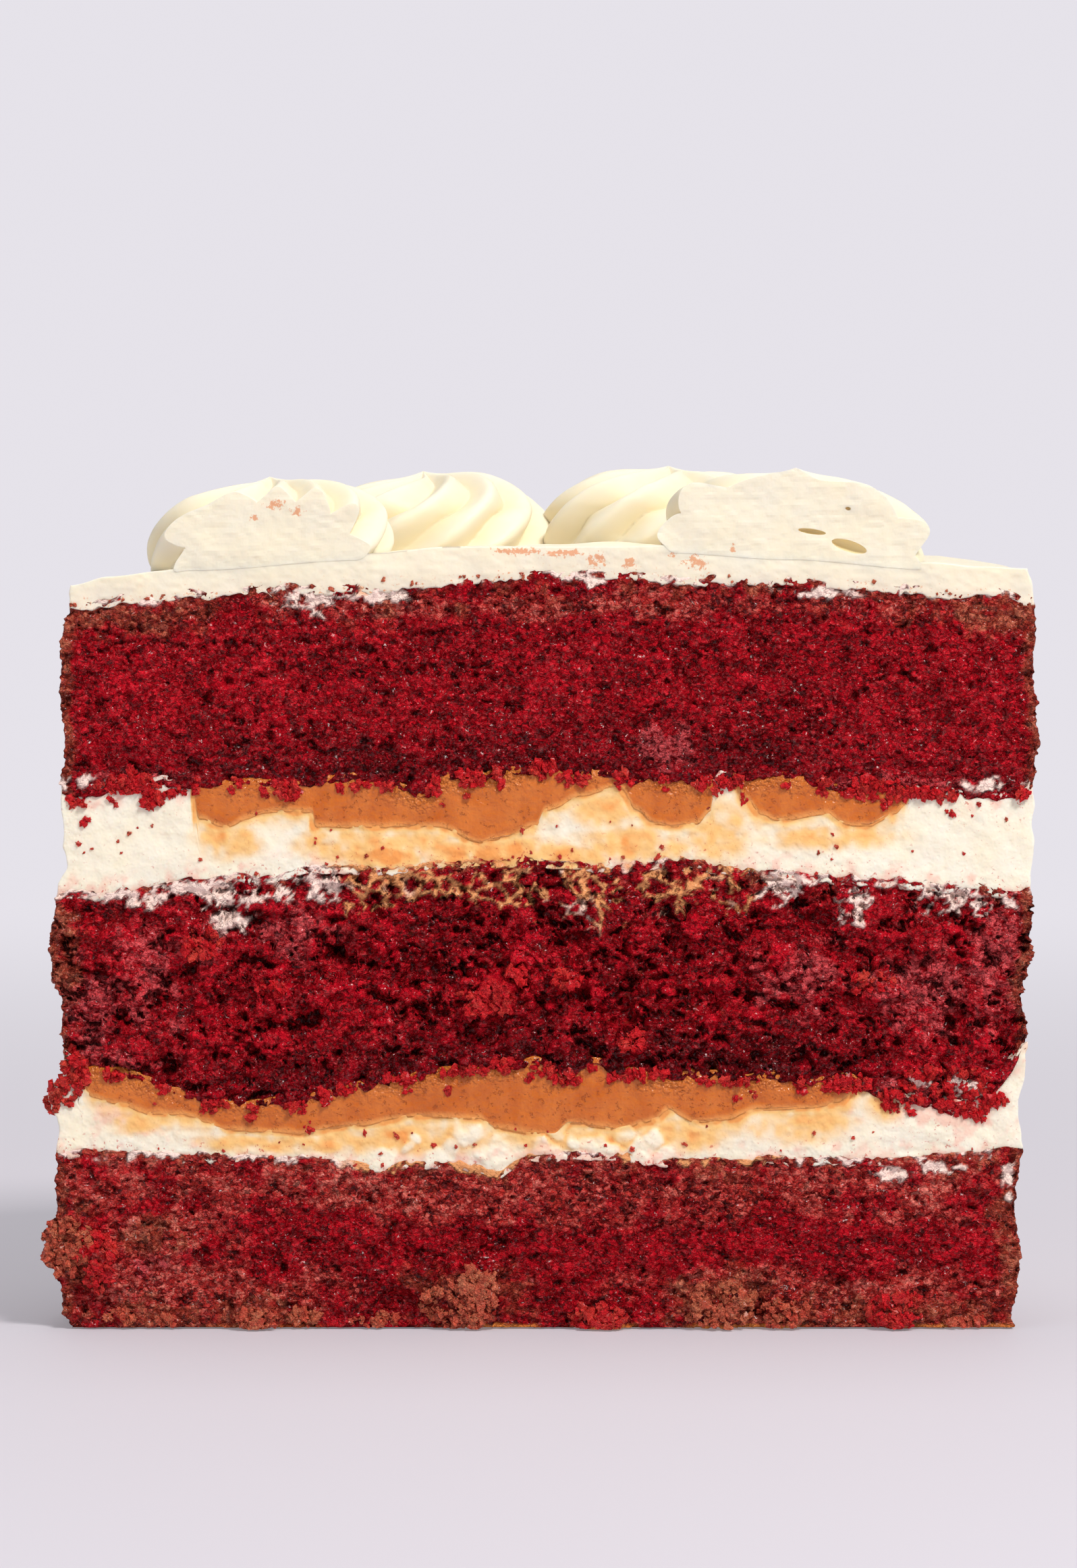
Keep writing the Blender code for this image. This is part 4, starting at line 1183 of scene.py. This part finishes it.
PIPED = rosette_tree()
for seed, (name, (middle_x, middle_y, radius, height, turn)) in enumerate(ROSETTES.items()):
    rosette = new_piece(name + "_piped", bpy.data.meshes.new(name))
    run_tree(rosette, PIPED, {
        "Radius": radius, "Height": height + 0.4 + SUNK, "Ridges": float(RIDGES), "Ridge Depth": RIDGE_DEPTH,
        "Twist": TWIST, "Turn": math.radians(turn), "Seed": seed * 3.7, "Material": FROSTING,
    })
    points = squash(points_of(rosette.data) + [middle_x, middle_y, 0.0], middle_x, middle_y, radius)
    points[:, 2] += joint_height(FROSTING_TOP, points[:, 0], np.maximum(points[:, 1], 0.0), 0.0) - SUNK
    rosette.data.vertices.foreach_set("co", points.ravel())
    rosette.data.update()
    if middle_y < radius:
        take_away(rosette, knife_block(middle_x))
        if name == "rosette_right":
            take_away(rosette, air_holes())
    rosette.data.polygons.foreach_set("material_index", np.zeros(len(rosette.data.polygons), np.int32))
    rosette.data.materials.clear()
    rosette.data.materials.append(FROSTING)
    points = points_of(rosette.data)
    behind = points[:, 1] + PROUD - cut_relief(points[:, 0], points[:, 2])
    on_cut = (np.abs(behind) < ON_CUT) * 1.0
    specks = np.maximum(0.03, 0.7 * spots(TOP_SPECKS, points[:, 0], points[:, 2])) * on_cut
    for field_name, values in (("cut", on_cut), ("pink", 0.0 * on_cut), ("specks", specks)):
        store(rosette.data, field_name, values)
    holes = [(x, z, 1.1 * wide, 1.6 * high) for x, z, wide, high, _ in AIR_HOLES]
    in_hole = (behind > ON_CUT) * (behind < 3.0) * (spots(holes, points[:, 0], points[:, 2]) > 0.3)
    valley_shade = np.empty(len(points))
    rosette.data.attributes["valley_shade"].data.foreach_get("value", valley_shade)
    # Painted shade: the inside of each air hole gets the strongest valley shade, and the cut face none.
    valley_shade = np.where(in_hole, 1.4, valley_shade * (1.0 - on_cut))
    rosette.data.attributes["valley_shade"].data.foreach_set("value", valley_shade)
    keep_in_box(rosette)
    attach(rosette, "root")
    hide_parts(name)


# Loose crumbs. Small torn bits of the sponge, dragged by the knife on to the creams and caramel,
# hanging at the joints, and fallen in clumps along the foot of the cut.


def crumb_scatter_tree():
    """An irregular little crumb on every point, turned at random and as large as the point says."""
    sockets = {"Geometry": None, "Seed": 0, "Material": None}
    tree, given, result = new_tree("loose_crumbs", "GeometryNodeTree", sockets, ["Geometry"])
    points = add(tree, "GeometryNodeMeshToPoints", {"Mesh": given["Geometry"], "Radius": 0.05}).outputs[0]
    lump = add(tree, "GeometryNodeMeshIcoSphere", {"Radius": 1.0, "Subdivisions": 2}).outputs["Mesh"]
    place = add(tree, "GeometryNodeInputPosition").outputs[0]
    push = vector(tree, "SUBTRACT", noise_at(tree, place, 1.25, 3.0)["Color"], (0.5, 0.5, 0.5))
    put = {"Geometry": lump, "Offset": vector(tree, "SCALE", push, 3.4)}
    lump = add(tree, "GeometryNodeSetPosition", put).outputs[0]
    ranges = ((0.0, 0.0, 0.0), (6.28, 6.28, 6.28)), ((0.6, 0.6, 0.5), (1.2, 1.1, 1.0))
    turn, stretch = (
        add(tree, "FunctionNodeRandomValue", {"Min": low, "Max": high, "Seed": given["Seed"]},
            data_type="FLOAT_VECTOR").outputs[0]
        for low, high in ranges
    )
    size = add(tree, "GeometryNodeInputNamedAttribute", {"Name": "size"}).outputs["Attribute"]
    put = {"Points": points, "Instance": lump, "Rotation": turn}
    put["Scale"] = vector(tree, "SCALE", stretch, size)
    return end_tree(tree, add(tree, "GeometryNodeInstanceOnPoints", put).outputs[0], given, result)


CRIMSON = (0.46, 0.003, 0.008)
CRUMB_BRIGHT = (0.88, 0.022, 0.03)
CRUMB_TAN = (0.78, 0.24, 0.12)


def crumb_material():
    """Bits of sponge, from crimson to browned orange, and a little wet."""
    material, tree, shader = new_material("loose_crumb")
    crumb = group(tree, TORN, Seed=3.0, Grain=0.6, Pits=0.34)
    colour = mix(tree, crumb["Tone"], CRIMSON, CRUMB_BRIGHT)
    colour = mix(tree, field(tree, "tone"), colour, mix(tree, crumb["Tone"], CRUST_BROWN, CRUMB_TAN))
    # Painted shade: the cracks and pits between the bits' granules are darkened.
    colour = mix(tree, crumb["Crack"], colour, SPONGE_DARK, 0.6)
    feed(tree, shader, {
        "Base Color": colour,
        "Roughness": group(tree, MOTTLE, Size=0.4, Low=0.25, High=0.65, Seed=2.0),
        "Specular IOR Level": 0.1,
        "Coat Weight": 0.12,
        "Coat Roughness": 0.2,
        "Subsurface Weight": 0.3,
        "Subsurface Radius": (0.0015, 0.0002, 0.0002),
        "Subsurface Scale": 1.0,
        "Normal": bumped(tree, crumb["Height"], 0.9, 0.0003),
    })
    return material


# What front_of gives where no piece stands.
MISSED = 5.0


def front_of(pieces, x, z):
    """How far forward the cut face stands at a place, in millimetres of the plan, or MISSED."""
    ahead = MISSED
    start = Vector(((x + MIDDLE_X) * MM, -0.2, z * MM))
    for piece in pieces:
        hit, point, normal, face = piece.ray_cast(start, Vector((0.0, 1.0, 0.0)))
        if hit:
            ahead = min(ahead, point.y / MM - CUT_Y)
    return ahead


rng = np.random.default_rng(7)
crumb_places = []
LOWEST = 0.3


def crumb_cluster(x, z, wide, high, count, tone, small=0.3, large=0.75):
    """A clump of crumbs about a place on the cut."""
    for _ in range(count):
        angle, reach = rng.uniform(0.0, 2.0 * math.pi), math.sqrt(rng.random())
        spot_x = x + wide * reach * math.cos(angle)
        spot_z = abs(z + high * reach * math.sin(angle) - LOWEST) + LOWEST
        size = small + (large - small) * rng.random() ** 1.7
        crumb_places.append((spot_x, spot_z, size, min(1.0, max(0.0, tone + rng.uniform(-0.2, 0.2)))))


# Torn crumb hanging in clusters under the sponges, and single bits dragged over the creams.
for line, step, drop in ((MIDDLE_SPONGE_BASE, 6.0, 1.6), (TOP_SPONGE_BASE, 5.4, 1.8)):
    x = -77.0
    while x < 79.0:
        wide, high = rng.uniform(0.7, 3.0), rng.uniform(0.5, 1.6)
        z = float(along(line, x)) - rng.uniform(0.2, drop)
        crumb_cluster(x, z, wide, high, int(wide * high * 7.2), 0.0, 0.35, 1.05)
        if rng.random() < 0.4:
            aside, below = rng.uniform(-2.0, 2.0), rng.uniform(1.0, 3.5)
            crumb_cluster(x + aside, z - below, 0.8, 0.8, rng.integers(1, 7), 0.05)
        x += step * rng.uniform(0.5, 1.5)
BITS = ((LOWER_SPONGE_TOP, 22, 0.9, 0.2), (MIDDLE_SPONGE_TOP, 30, 0.9, 0.2), (TOP_SPONGE_TOP, 24, 0.5, 0.7))
for line, count, spread, tone in BITS:
    for x in rng.uniform(-78.0, 78.0, count):
        z = float(along(line, x)) + rng.exponential(spread)
        crumb_places.append((x, z, rng.uniform(0.2, 0.55), tone + rng.random() * 0.3))
for low_z, high_z, count in ((30.0, 34.0, 16), (77.0, 86.0, 30)):
    for x in rng.uniform(-78.0, 78.0, count):
        crumb_places.append((x, rng.uniform(low_z, high_z), rng.uniform(0.2, 0.5), rng.uniform(0.1, 0.7)))
# Clumps along the foot and at the ends of the cut: (x, height, half width, half height, crumbs, tone).
CLUMPS = [
    (-62.0, 1.0, 1.6, 0.9, 14, 0.7), (-47.5, 1.8, 3.6, 1.8, 50, 0.75), (-40.0, 1.4, 2.4, 1.4, 26, 0.8),
    (-14.0, 3.6, 6.4, 3.8, 125, 0.8), (-11.0, 7.4, 3.0, 2.6, 50, 0.9), (9.0, 1.8, 4.8, 2.0, 76, 0.1),
    (29.0, 3.8, 6.2, 3.8, 95, 0.9), (40.0, 2.6, 4.2, 2.6, 50, 0.7), (58.0, 3.0, 4.4, 3.0, 76, 0.05),
    (-78.5, 13.5, 4.4, 4.8, 105, 0.75), (-74.0, 12.5, 3.4, 3.4, 60, 0.05), (-73.0, 8.6, 2.4, 2.2, 40, 0.05),
    (-79.0, 41.5, 4.0, 4.6, 105, 0.15), (-81.5, 37.4, 1.8, 2.0, 40, 0.3),
    (-9.5, 54.6, 4.2, 2.8, 95, 0.0), (-56.5, 63.5, 3.4, 2.4, 46, 0.1), (79.4, 2.0, 1.4, 0.9, 16, 0.5),
    (70.0, 1.0, 3.0, 0.7, 20, 0.6), (-28.0, 1.2, 4.0, 0.9, 30, 0.7), (-70.0, 2.0, 3.0, 1.2, 20, 0.7),
    (-68.0, 89.4, 5.5, 1.2, 50, 0.0), (-64.4, 87.4, 2.0, 1.2, 20, 0.0), (56.0, 88.6, 8.0, 1.2, 50, 0.0),
    (66.0, 40.6, 8.0, 2.6, 92, 0.0), (70.0, 36.4, 3.0, 1.2, 30, 0.0), (50.0, 40.4, 4.0, 1.4, 40, 0.0),
    (14.3, 47.6, 2.0, 1.6, 24, 0.0), (54.0, 57.0, 3.4, 1.8, 30, 0.1), (-45.0, 56.5, 2.4, 1.6, 20, 0.0),
    (3.8, 58.0, 2.2, 1.6, 20, 0.0), (-4.2, 58.6, 1.8, 1.6, 16, 0.0),
]
for clump in CLUMPS:
    crumb_cluster(*clump, small=0.4, large=1.15)
cut_pieces = [
    sponge_lower, sponge_middle, sponge_top, cream_lower, cream_upper, caramel_lower, caramel_upper,
    caramel_side, frosting,
]
bpy.context.view_layer.update()
spots_found = [(x, front_of(cut_pieces, x, z), z, size, tone) for x, z, size, tone in crumb_places]
spots_found = np.array([spot for spot in spots_found if spot[1] < MISSED - 0.1])
cloud = bpy.data.meshes.new("crumb_points")
cloud.from_pydata(spots_found[:, :3].tolist(), [], [])
store(cloud, "size", spots_found[:, 3])
store(cloud, "tone", spots_found[:, 4])
crumbs = new_piece("loose_crumbs", cloud)
run_tree(crumbs, crumb_scatter_tree(), {"Seed": 5, "Material": crumb_material()})
keep_in_box(crumbs)
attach(crumbs, "root")


# The camera. It stands a metre from the cut, a little above the cake's top, with a long lens that
# looks slightly down.
FOCAL_PIXELS = 9040.0
PHOTO_HEIGHT = 2323.0
CAMERA_AWAY = 1.0
CAMERA_HEIGHT = 0.1457
LOOK_DOWN = 3.2
camera_data = bpy.data.cameras.new("camera")
camera_data.sensor_width = 36.0
camera_data.lens = 36.0 * FOCAL_PIXELS / PHOTO_HEIGHT
camera_data.clip_start = 0.01
camera = bpy.data.objects.new("camera", camera_data)
camera.location = (0.0001, CUT_Y * MM - CAMERA_AWAY, CAMERA_HEIGHT)
camera.rotation_euler = (math.radians(90.0 - LOOK_DOWN), 0.0, 0.0)
bpy.context.scene.collection.objects.link(camera)
bpy.context.scene.camera = camera


# The studio. A pale floor that fades into a pale backdrop, lit by three soft lights: the key from the
# right, a weak fill from the left and a weak light above.
BACKDROP = (0.79, 0.765, 0.82)
world = bpy.data.worlds.new("studio")
world.use_nodes = True
backdrop = world.node_tree.nodes["Background"]
backdrop.inputs["Color"].default_value = (*BACKDROP, 1.0)
put = {"Color": (0.95, 0.97, 1.0, 1.0), "Strength": 0.38}
room = add(world.node_tree, "ShaderNodeBackground", put).outputs[0]
seen = add(world.node_tree, "ShaderNodeLightPath").outputs["Is Camera Ray"]
both = add(world.node_tree, "ShaderNodeMixShader", {0: seen, 1: room, 2: backdrop.outputs[0]})
world.node_tree.links.new(both.outputs[0], world.node_tree.nodes["World Output"].inputs["Surface"])
bpy.context.scene.world = world
bpy.context.scene.view_settings.view_transform = "Standard"

bm = bmesh.new()
bmesh.ops.create_circle(bm, cap_ends=True, segments=96, radius=4.0)
for vert in bm.verts:
    vert.co.z = -0.0003
floor = piece_of("floor", bm)
material, tree, shader = new_material("pale_floor")
feed(tree, shader, {"Base Color": (0.62, 0.58, 0.64, 1.0), "Roughness": 0.6})
place = add(tree, "ShaderNodeTexCoord").outputs["Object"]
far = add(tree, "ShaderNodeVectorMath", {0: place}, operation="LENGTH").outputs["Value"]
# Painted glow: the floor partly glows in the backdrop's colour, a little near the cake, which lightens its
# shadow there, and fully far off.
glow = add(tree, "ShaderNodeEmission", {"Color": (*BACKDROP, 1.0)}).outputs[0]
share = ease(tree, far, 0.05, 0.9, 0.22, 1.0)
blend = add(tree, "ShaderNodeMixShader", {0: share, 1: shader.outputs[0], 2: glow})
tree.links.new(blend.outputs[0], tree.nodes["Material Output"].inputs["Surface"])
floor.data.materials.append(material)


def soft_light(name, place, aim, size, power, colour):
    """A square softbox turned to face a point."""
    data = bpy.data.lights.new(name, "AREA")
    data.shape = "SQUARE"
    data.size = size
    data.energy = power
    data.color = colour
    light = bpy.data.objects.new(name, data)
    light.location = place
    light.rotation_euler = (Vector(aim) - Vector(place)).to_track_quat("-Z", "Y").to_euler()
    bpy.context.scene.collection.objects.link(light)


soft_light("key_light", (0.6, -0.85, 1.15), (0.0, 0.0, 0.07), 0.35, 20.0, (1.0, 0.975, 0.94))
soft_light("fill_light", (-0.9, -0.9, 0.5), (0.0, 0.0, 0.06), 0.8, 2.5, (0.97, 0.97, 1.0))
soft_light("top_light", (0.0, 0.2, 1.1), (0.0, 0.0, 0.1), 0.6, 2.5, (1.0, 0.99, 0.97))
